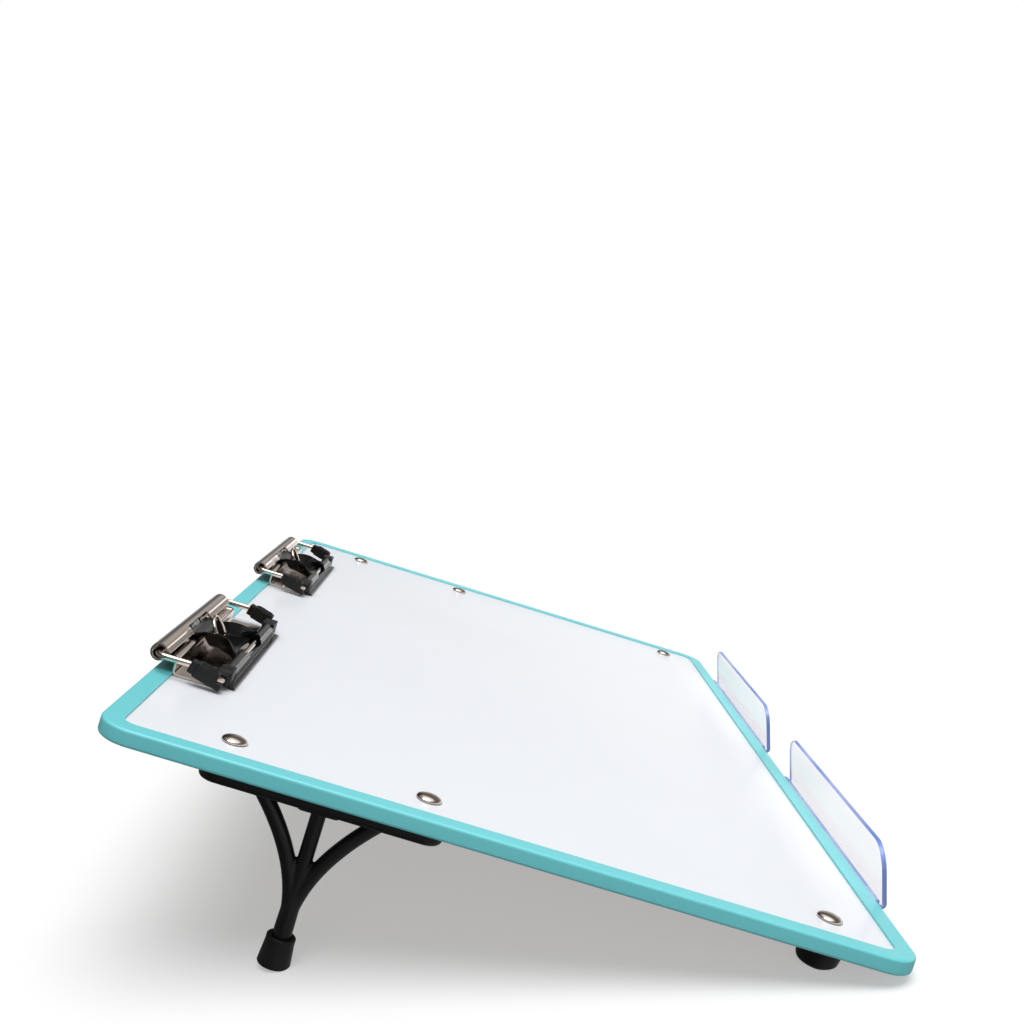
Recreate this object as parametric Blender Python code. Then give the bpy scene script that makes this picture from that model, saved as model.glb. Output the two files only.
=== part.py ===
"""Slant board: a white writing panel in a teal edge trim, held at a slope by two braced legs and two
rubber feet, with two spring clips on its top edge and two clear ledges on its bottom edge.

The board has a frame of its own: X runs across it, Y runs up its slope from the bottom edge, and Z stands
square to it, with zero on the underside of the trim. One empty tilts the board and stands it on the floor.
A clip is drawn by reach, the distance from the board's top edge towards the user, and by height above the
white face.
"""
import math

import bmesh
import bpy
from mathutils import Matrix, Vector

MM = 0.001

# Clearances
GAP = 0.3 * MM
CUT_OVERRUN = 3.0 * MM
MERGE_DISTANCE = 0.0005 * MM

# Board: core panel, white face and the trim that wraps their edge
BOARD_WIDTH = 610.0 * MM
BOARD_DEPTH = 356.0 * MM
BOARD_TILT = math.radians(17.4)
CORNER_RADIUS = 16.0 * MM
CORNER_STEPS = 6
CORE_THICKNESS = 4.2 * MM
FACE_THICKNESS = 0.8 * MM
TRIM_WALL = 1.5 * MM
TRIM_LIP_WIDTH = 9.5 * MM
TRIM_LIP_THICKNESS = 0.8 * MM
TRIM_EDGE_RADIUS = 1.4 * MM
TRIM_EDGE_STEPS = 3

# Screws with domed heads, set in from the side edges
SCREW_INSET = 28.0 * MM
SCREW_RADIUS = 2.5 * MM
SCREW_HEAD_RADIUS = 5.8 * MM
SCREW_HEAD_HEIGHT = 2.5 * MM
SCREW_HEAD_RIM = 0.5 * MM
SCREW_GRIP = 6.0 * MM
SCREW_SIDES = 20
HOLE_SIDES = 12
DOME_STEPS = 4

# Legs, placed by the distance from the bottom edge
LEG_DISTANCE = 259.0 * MM
LEG_SCREW_SPACING = 86.0 * MM
PLATE_LENGTH = 106.6 * MM
PLATE_WIDTH = 30.0 * MM
PLATE_THICKNESS = 9.5 * MM
PLATE_EDGE_BEVEL = 2.5 * MM
PLATE_END_STEPS = 8
PAD_LENGTH = 18.0 * MM
PAD_HEIGHT = 1.0 * MM
PAD_SIDE_INSET = 2.8 * MM
POST_TOP_RADIUS = 3.4 * MM
SHAFT_RADIUS = 4.25 * MM
SHAFT_SWELL_LENGTH = 20.0 * MM
POST_SIDES = 16
BRACE_RADIUS = 3.5 * MM
BRACE_SPREAD = 27.5 * MM
BRACE_DROP = 56.0 * MM
BRACE_BURIED_RISE = 5.0 * MM
BRACE_STEPS = 10
BRACE_SIDES = 12
CAP_TOP_RADIUS = 6.5 * MM
CAP_BOTTOM_RADIUS = 7.4 * MM
CAP_HEIGHT = 13.4 * MM
CAP_FLOOR = 4.0 * MM
CAP_EDGE_RADIUS = 0.8 * MM
CAP_FLAT_DEPTH = 1.2 * MM

# Front feet
FOOT_DISTANCE = 35.0 * MM
FOOT_STAND = 13.6 * MM
FOOT_RADIUS = 10.5 * MM
FOOT_BASE_RADIUS = 9.4 * MM
FOOT_EDGE_RADIUS = 3.6 * MM
FOOT_FLAT_DEPTH = 0.6 * MM
FOOT_SIDES = 24

# Clip: a base of bent sheet whose rear edge is rolled into a barrel
CLIP_OFFSET = 138.0 * MM
CLIP_WIDTH = 142.0 * MM
BASE_THICKNESS = 1.2 * MM
BASE_FRONT_REACH = 30.5 * MM
BASE_WEB_REACH = 9.8 * MM
BASE_FLANGE_HEIGHT = 7.4 * MM
BASE_BEND_RADIUS = 1.4 * MM
BEND_STEPS = 3
BARREL_REACH = 1.0 * MM
BARREL_HEIGHT = 9.3 * MM
BARREL_RADIUS = 3.8 * MM
BARREL_STEPS = 20
BARREL_END_ANGLE = math.radians(40.0)
BARREL_LIP_LENGTH = 3.0 * MM
BARREL_LIP_ANGLE = math.radians(-35.0)
NOTCH_CLEARANCE = 1.5 * MM
NOTCH_START_ANGLE = math.radians(-16.0)
NOTCH_END_ANGLE = math.radians(60.0)

# Rivets that hold the base to the board
RIVET_OFFSET = 46.0 * MM
RIVET_REACH = 24.0 * MM
RIVET_RADIUS = 1.5 * MM
RIVET_HEAD_RADIUS = 2.7 * MM
RIVET_HEAD_HEIGHT = 1.3 * MM
RIVET_TAIL_THICKNESS = 0.9 * MM

# Bail: one wire that starts and ends inside the left front tube of the jaw
WIRE_RADIUS = 1.6 * MM
WIRE_SIDES = 10
WIRE_OFFSET = 76.2 * MM
WIRE_BEND_RADIUS = 5.0 * MM
WIRE_BEND_STEPS = 5
WIRE_DROP_REACH = 17.0 * MM
WIRE_FRONT_REACH = 33.0 * MM
WIRE_FRONT_HEIGHT = 5.0 * MM
WIRE_JOINT_OFFSET = 36.0 * MM
WIRE_JOINT_GAP = 1.0 * MM

# Rubber corner grips on the bail
GRIP_WIDTH = 7.0 * MM
GRIP_HEIGHT = 6.4 * MM
GRIP_REAR_REACH = 17.6 * MM
GRIP_INNER_OFFSET = 55.5 * MM
GRIP_CORNER_CHAMFER = 1.2 * MM
GRIP_BEND_STEPS = 4

# Jaw: knuckles in the barrel, a waisted channel, two tubes round the front wire and a pressing lip
JAW_THICKNESS = 1.0 * MM
KNUCKLE_RADIUS = 2.9 * MM
KNUCKLE_INNER_OFFSET = 5.9 * MM
KNUCKLE_OUTER_OFFSET = 14.0 * MM
WIRE_BORE_RADIUS = 2.0 * MM
BORE_SIDES = 16
TUBE_RADIUS = 3.5 * MM
TUBE_INNER_OFFSET = 17.0 * MM
TUBE_SIDES = 24
NECK_REAR_REACH = 3.2 * MM
NECK_REAR_HALF_WIDTH = 20.0 * MM
NECK_HALF_WIDTH = 15.7 * MM
NECK_FLARE_RADIUS = 15.0 * MM
NECK_FLARE_REACH = 14.5 * MM
NECK_FRONT_REACH = 31.8 * MM
NECK_WEB_HEIGHT = 4.8 * MM
NECK_WALL_HEIGHT = 12.5 * MM
LIP_WALL_REACH = 36.9 * MM
LIP_FRONT_REACH = 39.3 * MM
LIP_HALF_WIDTH = 66.0 * MM
LIP_BEND_RADIUS = 0.8 * MM
LENS_HALF_WIDTH = 23.5 * MM
LENS_REAR_REACH = 28.6 * MM
LENS_FRONT_REACH = 36.4 * MM
LENS_STEPS = 10
WINDOW_OFFSET = 7.3 * MM
WINDOW_REACH = 25.6 * MM
WINDOW_SIZE = 2.8 * MM

# Hang ring and the two lugs that hold its straight bar
RING_WIRE_RADIUS = 0.9 * MM
RING_HALF_WIDTH = 8.6 * MM
RING_STRAIGHT = 1.6 * MM
RING_CORNER_RADIUS = 2.0 * MM
RING_STEPS = 12
RING_SIDES = 8
RING_LEAN = math.radians(35.0)
RING_REACH = 18.0 * MM
LUG_OFFSET = 5.0 * MM
LUG_THICKNESS = 1.2 * MM
LUG_RADIUS = 2.2 * MM

# Torsion spring on the wire between the knuckles
SPRING_RADIUS = 2.4 * MM
SPRING_WIRE_RADIUS = 0.45 * MM
SPRING_PITCH = 1.45 * MM
SPRING_TURNS = 6
SPRING_STEPS = 9

# Clear ledges: an upright, a shelf and a flange that a strip of tape holds to the trim
LEDGE_OFFSET = 131.0 * MM
LEDGE_LENGTH = 194.0 * MM
LEDGE_THICKNESS = 2.4 * MM
LEDGE_SLOT = 2.0 * MM
LEDGE_RISE = 25.0 * MM
LEDGE_LEAN = math.radians(19.0)
LEDGE_SHELF_BOTTOM = 2.0 * MM
LEDGE_FLANGE_TOP = 6.2 * MM
LEDGE_BEND_RADIUS = 1.6 * MM
LEDGE_CORNER_RADIUS = 12.0 * MM
LEDGE_CORNER_STEPS = 8
TAPE_THICKNESS = 0.6 * MM
TAPE_HEIGHT = 3.8 * MM
TAPE_MARGIN = 4.0 * MM

SHARP_ANGLE = math.radians(35.0)
SIDES = (("left", -1), ("right", 1))

# Levels that follow from the sizes above
CORE_BOTTOM = TRIM_LIP_THICKNESS + GAP
CORE_TOP = CORE_BOTTOM + CORE_THICKNESS
FACE_BOTTOM = CORE_TOP + GAP
FACE_TOP = FACE_BOTTOM + FACE_THICKNESS
BOARD_THICKNESS = FACE_TOP + GAP + TRIM_LIP_THICKNESS
UNDERSIDE_SEAT = CORE_BOTTOM - GAP
SCREW_OFFSET = BOARD_WIDTH / 2 - SCREW_INSET
RING_HEIGHT = NECK_WEB_HEIGHT + JAW_THICKNESS / 2 + RING_WIRE_RADIUS + GAP
TUBE_OUTER_OFFSET = GRIP_INNER_OFFSET - 2 * GAP


def floor_height(distance):
    """Height of the floor, in the board's frame, at a distance from the bottom edge."""
    return -FOOT_STAND - (distance - FOOT_DISTANCE) * math.tan(BOARD_TILT)


def floor_direction():
    """The way up from the floor, in the board's frame."""
    return Vector((0, math.sin(BOARD_TILT), math.cos(BOARD_TILT)))


# Mesh helpers

def finish_mesh(bm):
    """Merges doubled points, turns all faces outwards and hands the mesh over."""
    bmesh.ops.remove_doubles(bm, verts=bm.verts[:], dist=MERGE_DISTANCE)
    bmesh.ops.recalc_face_normals(bm, faces=bm.faces[:])
    mesh = bpy.data.meshes.new("solid")
    bm.to_mesh(mesh)
    bm.free()
    return mesh


def gathered(meshes):
    """Several meshes as one, each still a body of its own."""
    bm = bmesh.new()
    for mesh in meshes:
        bm.from_mesh(mesh)
    return finish_mesh(bm)


def moved(mesh, offset):
    """A copy of a mesh, moved by an offset."""
    copy = mesh.copy()
    copy.transform(Matrix.Translation(offset))
    return copy


def extruded(outline, travel):
    """A flat outline of 3-D points carried along a travel."""
    bm = bmesh.new()
    face = bm.faces.new([bm.verts.new(point) for point in outline])
    result = bmesh.ops.extrude_face_region(bm, geom=[face])["geom"]
    corners = [item for item in result if isinstance(item, bmesh.types.BMVert)]
    bmesh.ops.translate(bm, verts=corners, vec=travel)
    return finish_mesh(bm)


def prism(outline, low, high):
    """An outline in X and Y, carried from a low to a high level."""
    return extruded([(x, y, low) for x, y in outline], (0, 0, high - low))


def cross_bar(profile, start, end):
    """A profile in Y and Z, carried across the board from start to end."""
    return extruded([(start, y, z) for y, z in profile], (end - start, 0, 0))


def box(x_low, x_high, y_low, y_high, z_low, z_high):
    """A block between six planes."""
    outline = [(x_low, y_low), (x_high, y_low), (x_high, y_high), (x_low, y_high)]
    return prism(outline, z_low, z_high)


def turned(profile, sides):
    """A profile of radius and height, turned about Z; it starts and ends on the axis."""
    bm = bmesh.new()
    points = [bm.verts.new((radius, 0, height)) for radius, height in profile]
    edges = [bm.edges.new(pair) for pair in zip(points, points[1:])]
    bmesh.ops.spin(bm, geom=points + edges, cent=(0, 0, 0), axis=(0, 0, 1), angle=math.tau, steps=sides)
    return finish_mesh(bm)


def circle(radius, sides):
    """A round section for a sweep."""
    turns = [math.tau * step / sides for step in range(sides)]
    return [(radius * math.cos(turn), radius * math.sin(turn)) for turn in turns]


def swept(points, section, closed=False):
    """A section carried along a line of points without twisting; closed joins its two ends."""
    headings = [(after - before).normalized() for before, after in zip(points, points[1:])]
    headings.append((points[0] - points[-1]).normalized() if closed else headings[-1])
    side = headings[0].cross(Vector((0, 0, 1)))
    side = side.normalized() if side.length > MERGE_DISTANCE else Vector((1, 0, 0))
    bm = bmesh.new()
    rings = []
    for index, point in enumerate(points):
        leaving = headings[index]
        arriving = headings[index - 1] if closed or index else leaving
        if index:
            side.rotate(arriving.rotation_difference(leaving))
        up = leaving.cross(side)
        mitre = arriving + leaving
        ring = []
        for across, along in section:
            offset = side * across + up * along
            offset -= leaving * (offset.dot(mitre) / leaving.dot(mitre))
            ring.append(bm.verts.new(point + offset))
        rings.append(ring)
    skin_rings(bm, rings, closed)
    return finish_mesh(bm)


def skin_rings(bm, rings, closed):
    """Faces between neighbouring rings of points, with an end face on each end of an open row."""
    pairs = list(zip(rings, rings[1:]))
    if closed:
        pairs.append((rings[-1], rings[0]))
    for first, second in pairs:
        for corner, start in enumerate(first):
            following = (corner + 1) % len(first)
            bm.faces.new((start, first[following], second[following], second[corner]))
    if not closed:
        bm.faces.new(rings[0])
        bm.faces.new(rings[-1])


def lofted(sections, closed=False):
    """A skin over a row of outlines that have the same number of 3-D points."""
    bm = bmesh.new()
    rings = [[bm.verts.new(point) for point in section] for section in sections]
    skin_rings(bm, rings, closed)
    return finish_mesh(bm)


def rounded(corners, radii, steps):
    """A line through 3-D corners whose inner corners are rounded to the given radii."""
    points = [Vector(corners[0])]
    for before, corner, after, radius in zip(corners, corners[1:], corners[2:], radii):
        corner = Vector(corner)
        arriving = (corner - Vector(before)).normalized()
        leaving = (Vector(after) - corner).normalized()
        turn = arriving.angle(leaving)
        start = corner - arriving * radius * math.tan(turn / 2)
        axis = arriving.cross(leaving).normalized()
        centre = start + axis.cross(arriving) * radius
        for step in range(steps + 1):
            points.append(centre + Matrix.Rotation(turn * step / steps, 3, axis) @ (start - centre))
    points.append(Vector(corners[-1]))
    return points


def sheet_outline(path, thickness):
    """The outline, in Y and Z, of a bent sheet whose middle line is a path of 3-D points."""
    headings = [(after - before).normalized() for before, after in zip(path, path[1:])]
    near, far = [], []
    for index, point in enumerate(path):
        arriving = headings[max(index - 1, 0)]
        leaving = headings[min(index, len(headings) - 1)]
        mitre = (arriving + leaving).normalized()
        reach = thickness / 2 / mitre.dot(arriving)
        near.append((point.y - mitre.z * reach, point.z + mitre.y * reach))
        far.append((point.y + mitre.z * reach, point.z - mitre.y * reach))
    return near + far[::-1]


def combined(body, tools, operation):
    """Joins other meshes to a body, or cuts them from it."""
    base = bpy.data.objects.new("body", body)
    bpy.context.scene.collection.objects.link(base)
    helpers = [base]
    for tool in tools:
        helper = bpy.data.objects.new("cutter", tool)
        helper.hide_render = True
        helper.display_type = 'WIRE'
        bpy.context.scene.collection.objects.link(helper)
        modifier = base.modifiers.new("shape", 'BOOLEAN')
        modifier.operation = operation
        modifier.solver = 'EXACT'
        modifier.object = helper
        helpers.append(helper)
    graph = bpy.context.evaluated_depsgraph_get()
    mesh = bpy.data.meshes.new_from_object(base.evaluated_get(graph))
    for helper in helpers:
        bpy.data.objects.remove(helper)
    return mesh


def sliced(mesh, point, direction):
    """The part of a closed mesh on the side of a plane that a direction points to, closed again."""
    bm = bmesh.new()
    bm.from_mesh(mesh)
    geometry = bm.verts[:] + bm.edges[:] + bm.faces[:]
    bmesh.ops.bisect_plane(bm, geom=geometry, dist=MERGE_DISTANCE, plane_co=point, plane_no=direction,
                           clear_inner=True)
    rim = [edge for edge in bm.edges if edge.is_boundary]
    bmesh.ops.holes_fill(bm, edges=rim, sides=0)
    return finish_mesh(bm)


def with_rounded_edges(mesh, is_chosen, radius, steps):
    """Rounds the edges that is_chosen picks."""
    bm = bmesh.new()
    bm.from_mesh(mesh)
    edges = [edge for edge in bm.edges if is_chosen(edge)]
    bmesh.ops.bevel(bm, geom=edges, offset=radius, segments=steps, profile=0.5, affect='EDGES')
    return finish_mesh(bm)


def arc(centre, radius, start, end, steps):
    """Points of an arc about a centre, as pairs."""
    turns = [start + (end - start) * step / steps for step in range(steps + 1)]
    return [(centre[0] + radius * math.cos(turn), centre[1] + radius * math.sin(turn)) for turn in turns]


# Scene helpers

def finish(name, colour, roughness, metallic=0.0, alpha=1.0):
    """A plain material in the part's own colour."""
    material = bpy.data.materials.new(name)
    material.use_nodes = True
    shader = material.node_tree.nodes["Principled BSDF"]
    shader.inputs["Base Color"].default_value = (*colour, 1.0)
    shader.inputs["Roughness"].default_value = roughness
    shader.inputs["Metallic"].default_value = metallic
    shader.inputs["Alpha"].default_value = alpha
    return material


def pivot(name, parent, location):
    """An empty that carries other objects."""
    empty = bpy.data.objects.new(name, None)
    bpy.context.scene.collection.objects.link(empty)
    empty.parent = parent
    empty.location = location
    return empty


def place(name, mesh, material, parent, location=(0, 0, 0)):
    """A named sub-part, with its own finish, carried by a parent."""
    node = bpy.data.objects.new(name, mesh)
    bpy.context.scene.collection.objects.link(node)
    node.parent = parent
    node.location = location
    if not mesh.materials:
        mesh.materials.append(material)
        mesh.shade_smooth()
        mesh.set_sharp_from_angle(angle=SHARP_ANGLE)
    return node


# Board

def board_outline(inset):
    """The board's outline with its rounded corners, drawn in by an inset."""
    across = BOARD_WIDTH / 2 - CORNER_RADIUS
    low, high = CORNER_RADIUS, BOARD_DEPTH - CORNER_RADIUS
    points = []
    for quarter, centre in enumerate(((across, high), (-across, high), (-across, low), (across, low))):
        start = quarter * math.pi / 2
        points += arc(centre, CORNER_RADIUS - inset, start, start + math.pi / 2, CORNER_STEPS)
    return points


def trim_section():
    """The trim's U section as pairs of inset from the board's edge and height."""
    radius, top = TRIM_EDGE_RADIUS, BOARD_THICKNESS
    channel_low, channel_high = TRIM_LIP_THICKNESS, top - TRIM_LIP_THICKNESS
    inner = [(TRIM_LIP_WIDTH, 0), (TRIM_LIP_WIDTH, channel_low), (TRIM_WALL, channel_low),
             (TRIM_WALL, channel_high), (TRIM_LIP_WIDTH, channel_high), (TRIM_LIP_WIDTH, top)]
    upper = arc((radius, top - radius), radius, math.pi / 2, math.pi, TRIM_EDGE_STEPS)
    lower = arc((radius, radius), radius, math.pi, math.pi * 3 / 2, TRIM_EDGE_STEPS)
    return inner + upper + lower


def make_trim():
    """The edge trim: its section carried round the board's outline."""
    loops = []
    for inset, height in trim_section():
        loops.append([(x, y, height) for x, y in board_outline(inset)])
    return lofted(loops, closed=True)


def screw_places():
    """Where the screws stand, by name: two for each leg and one for each front foot."""
    places = {}
    for side_name, side in SIDES:
        x = side * SCREW_OFFSET
        places["leg_" + side_name + "_screw_rear"] = (x, LEG_DISTANCE + LEG_SCREW_SPACING / 2)
        places["leg_" + side_name + "_screw_front"] = (x, LEG_DISTANCE - LEG_SCREW_SPACING / 2)
        places["front_foot_" + side_name + "_screw"] = (x, FOOT_DISTANCE)
    return places


def rivet_places():
    """Where the rivets stand, by name: two in each clip."""
    places = {}
    for clip_name, clip in SIDES:
        for side_name, side in SIDES:
            x = clip * CLIP_OFFSET + side * RIVET_OFFSET
            places["clip_" + clip_name + "_rivet_" + side_name] = (x, BOARD_DEPTH - RIVET_REACH)
    return places


def post_cutter(radius, low, high):
    """A round cutter that runs past both levels."""
    reach = high - low + 2 * CUT_OVERRUN
    bar = turned([(0, 0), (radius, 0), (radius, reach), (0, reach)], HOLE_SIDES)
    return moved(bar, (0, 0, low - CUT_OVERRUN))


def make_panel_layer(low, high):
    """One flat layer of the board, inside the trim, with holes for the screws and rivets."""
    layer = prism(board_outline(TRIM_WALL + GAP), low, high)
    screw_cutter = post_cutter(SCREW_RADIUS + GAP, low, high)
    rivet_cutter = post_cutter(RIVET_RADIUS + GAP, low, high)
    cutters = [moved(screw_cutter, (x, y, 0)) for x, y in screw_places().values()]
    cutters += [moved(rivet_cutter, (x, y, 0)) for x, y in rivet_places().values()]
    return combined(layer, [gathered(cutters)], 'DIFFERENCE')


def dome(radius, height, rim):
    """Profile of a low dome, from the top of its axis down to its rim."""
    points = []
    for step in range(DOME_STEPS + 1):
        turn = step / DOME_STEPS * math.pi / 2
        points.append((radius * math.sin(turn), rim + (height - rim) * math.cos(turn)))
    return points + [(radius, 0)]


def make_screw():
    """A domed screw, drawn from the underside of its head, which sits on the white face."""
    depth = FACE_TOP + GAP - UNDERSIDE_SEAT + SCREW_GRIP
    profile = dome(SCREW_HEAD_RADIUS, SCREW_HEAD_HEIGHT, SCREW_HEAD_RIM)
    profile += [(SCREW_RADIUS, 0), (SCREW_RADIUS, -depth), (0, -depth)]
    return turned(profile, SCREW_SIDES)


def make_rivet():
    """A rivet through a clip's base and the board, with a flat tail under the core."""
    head_seat = BASE_THICKNESS + GAP
    tail_seat = CORE_BOTTOM - GAP - FACE_TOP - GAP
    tail_end = tail_seat - RIVET_TAIL_THICKNESS
    profile = [(radius, head_seat + height) for radius, height in dome(RIVET_HEAD_RADIUS, RIVET_HEAD_HEIGHT, 0)]
    profile.pop()
    profile += [(RIVET_RADIUS, head_seat), (RIVET_RADIUS, tail_seat), (RIVET_HEAD_RADIUS, tail_seat)]
    profile += [(RIVET_HEAD_RADIUS, tail_end), (0, tail_end)]
    return turned(profile, HOLE_SIDES)


# Legs, drawn from the seat on the underside of the core, with the leg's own axis at the origin

def leg_levels():
    """Levels of the leg below its seat: under the plate, at the braces' foot, and the cap's two ends."""
    under_plate = -PLATE_THICKNESS
    merge = under_plate - BRACE_DROP
    floor = floor_height(LEG_DISTANCE) - UNDERSIDE_SEAT
    cap_low = floor + CAP_BOTTOM_RADIUS * math.tan(BOARD_TILT) - CAP_FLAT_DEPTH
    return under_plate, merge, cap_low + CAP_HEIGHT, cap_low


def make_pad(extra, top):
    """The pad under the plate, from a top level down, with extra added all round."""
    half_width, half_length = PLATE_WIDTH / 2 - PAD_SIDE_INSET + extra, PAD_LENGTH / 2 + extra
    low = -PLATE_THICKNESS - PAD_HEIGHT - extra
    return box(-half_width, half_width, -half_length, half_length, low, top)


def make_leg_plate():
    """The plate with round ends, a low pad under its middle and two blind screw holes."""
    straight = (PLATE_LENGTH - PLATE_WIDTH) / 2
    outline = arc((0, straight), PLATE_WIDTH / 2, 0, math.pi, PLATE_END_STEPS)
    outline += arc((0, -straight), PLATE_WIDTH / 2, math.pi, math.tau, PLATE_END_STEPS)
    plate = prism(outline, -PLATE_THICKNESS, 0)

    def is_lower_rim(edge):
        return all(vertex.co.z < -PLATE_THICKNESS / 2 for vertex in edge.verts)

    plate = with_rounded_edges(plate, is_lower_rim, PLATE_EDGE_BEVEL, 2)
    plate = combined(plate, [make_pad(0, -PLATE_THICKNESS / 2)], 'UNION')
    hole = turned([(0, CUT_OVERRUN), (SCREW_RADIUS + GAP, CUT_OVERRUN),
                   (SCREW_RADIUS + GAP, -SCREW_GRIP - GAP), (0, -SCREW_GRIP - GAP)], HOLE_SIDES)
    holes = [moved(hole, (0, end * LEG_SCREW_SPACING / 2, 0)) for end in (-1, 1)]
    return combined(plate, [gathered(holes)], 'DIFFERENCE')


def post_profile(top, extra):
    """Profile of the post from its top into the cap, with extra added to its radius."""
    _, merge, _, cap_low = leg_levels()
    end = cap_low + CAP_FLOOR + GAP - extra
    return [(0, top), (POST_TOP_RADIUS + extra, top), (POST_TOP_RADIUS + extra, merge + SHAFT_SWELL_LENGTH),
            (SHAFT_RADIUS + extra, merge), (SHAFT_RADIUS + extra, end), (0, end)]


def make_leg_post():
    """The straight middle bar, which swells where the braces meet it."""
    top = leg_levels()[0] - PAD_HEIGHT - GAP
    return turned(post_profile(top, 0), POST_SIDES)


def make_brace(side):
    """A curved bar from the post out to the plate; side is 1 for the rear and -1 for the front."""
    under_plate, merge, _, _ = leg_levels()
    top = BRACE_DROP + CUT_OVERRUN
    points = []
    for step in range(BRACE_STEPS + 1):
        rise = BRACE_BURIED_RISE + (top - BRACE_BURIED_RISE) * step / BRACE_STEPS
        points.append(Vector((0, side * BRACE_SPREAD * (rise / BRACE_DROP) ** 2, merge + rise)))
    bar = swept(points, circle(BRACE_RADIUS, BRACE_SIDES))
    bar = sliced(bar, (0, 0, under_plate - GAP), (0, 0, -1))
    post = turned(post_profile(under_plate + CUT_OVERRUN, GAP), POST_SIDES)
    return combined(bar, [post, make_pad(GAP, 0)], 'DIFFERENCE')


def make_leg_cap():
    """The rubber cap on the post's end, cut flat where it stands on the floor."""
    _, _, top, low = leg_levels()
    bore = SHAFT_RADIUS + GAP
    edge = CAP_EDGE_RADIUS
    profile = [(0, low + CAP_FLOOR), (bore, low + CAP_FLOOR), (bore, top), (CAP_TOP_RADIUS - edge, top),
               (CAP_TOP_RADIUS, top - edge), (CAP_BOTTOM_RADIUS, low + edge), (CAP_BOTTOM_RADIUS - edge, low),
               (0, low)]
    cap = turned(profile, SCREW_SIDES)
    floor_point = (0, 0, floor_height(LEG_DISTANCE) - UNDERSIDE_SEAT)
    return sliced(cap, floor_point, floor_direction())


def make_front_foot():
    """A rubber bumper with a rounded base, a blind screw hole, and a flat where it stands on the floor."""
    floor = -FOOT_STAND - UNDERSIDE_SEAT
    low = floor - FOOT_FLAT_DEPTH
    centre = (FOOT_BASE_RADIUS - FOOT_EDGE_RADIUS, low + FOOT_EDGE_RADIUS)
    profile = [(0, 0), (FOOT_RADIUS, 0), (FOOT_RADIUS, low / 3)]
    profile += arc(centre, FOOT_EDGE_RADIUS, 0, -math.pi / 2, DOME_STEPS) + [(0, low)]
    foot = sliced(turned(profile, FOOT_SIDES), (0, 0, floor), floor_direction())
    hole = turned([(0, CUT_OVERRUN), (SCREW_RADIUS + GAP, CUT_OVERRUN),
                   (SCREW_RADIUS + GAP, -SCREW_GRIP - GAP), (0, -SCREW_GRIP - GAP)], HOLE_SIDES)
    return combined(foot, [hole], 'DIFFERENCE')


# Clip, drawn about the barrel's axis

def clip_point(reach, height, x=0):
    """A point of the clip, from its reach and its height above the white face."""
    return Vector((x, BARREL_REACH - reach, height - BARREL_HEIGHT))


def clip_box(x_low, x_high, reach_low, reach_high, low, high):
    """A block given by reaches and heights."""
    near, far = clip_point(reach_high, low), clip_point(reach_low, high)
    return box(x_low, x_high, near.y, far.y, near.z, far.z)


def clip_bar(reach, height, x_low, x_high, radius, sides):
    """A round bar across the clip."""
    ends = [clip_point(reach, height, x_low), clip_point(reach, height, x_high)]
    return swept(ends, circle(radius, sides))


def barrel_path():
    """Middle line of the base's sheet, from the front of its foot round the barrel to its lip."""
    foot = GAP + BASE_THICKNESS / 2
    start_angle = math.asin((BASE_FLANGE_HEIGHT - BARREL_HEIGHT) / BARREL_RADIUS)
    rear_reach = BARREL_REACH + BARREL_RADIUS * math.cos(start_angle)
    corners = [clip_point(BASE_FRONT_REACH, foot), clip_point(BASE_WEB_REACH, foot),
               clip_point(BASE_WEB_REACH, BASE_FLANGE_HEIGHT), clip_point(rear_reach, BASE_FLANGE_HEIGHT)]
    path = rounded(corners, [BASE_BEND_RADIUS, BASE_BEND_RADIUS], BEND_STEPS)
    sweep = BARREL_END_ANGLE - math.tau - start_angle
    for step in range(1, BARREL_STEPS + 1):
        turn = start_angle + sweep * step / BARREL_STEPS
        path.append(Vector((0, -BARREL_RADIUS * math.cos(turn), BARREL_RADIUS * math.sin(turn))))
    lip = Vector((0, -math.cos(BARREL_LIP_ANGLE), math.sin(BARREL_LIP_ANGLE)))
    path.append(path[-1] + lip * BARREL_LIP_LENGTH)
    return path


def make_clip_base():
    """The base: foot, web, flange, barrel and lip in one sheet, notched for the neck of the jaw."""
    profile = sheet_outline(barrel_path(), BASE_THICKNESS)
    sheet = cross_bar(profile, -CLIP_WIDTH / 2, CLIP_WIDTH / 2)
    far = BARREL_RADIUS + BARREL_LIP_LENGTH + CUT_OVERRUN
    inner = BARREL_RADIUS - BASE_THICKNESS
    wedge = [(-inner * math.cos(NOTCH_START_ANGLE), inner * math.sin(NOTCH_START_ANGLE)),
             (-far, inner * math.sin(NOTCH_START_ANGLE)),
             (-far, far * math.sin(NOTCH_END_ANGLE)),
             (-far * math.cos(NOTCH_END_ANGLE), far * math.sin(NOTCH_END_ANGLE)),
             (-inner * math.cos(NOTCH_END_ANGLE), inner * math.sin(NOTCH_END_ANGLE))]
    notch_half = NECK_REAR_HALF_WIDTH + NOTCH_CLEARANCE
    notch = cross_bar(wedge, -notch_half, notch_half)
    hole_place = clip_point(RIVET_REACH, GAP)
    hole = post_cutter(RIVET_RADIUS + GAP, 0, BASE_THICKNESS)
    holes = [moved(hole, (side * RIVET_OFFSET, hole_place.y, hole_place.z)) for side in (-1, 1)]
    return combined(sheet, [notch, gathered(holes)], 'DIFFERENCE')


def bail_corners(x_side):
    """Corners of the bail on one side, from the barrel's axis to the front bar."""
    x = x_side * WIRE_OFFSET
    return [clip_point(BARREL_REACH, BARREL_HEIGHT, x), clip_point(WIRE_DROP_REACH, BARREL_HEIGHT, x),
            clip_point(WIRE_FRONT_REACH, WIRE_FRONT_HEIGHT, x)]


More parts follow.
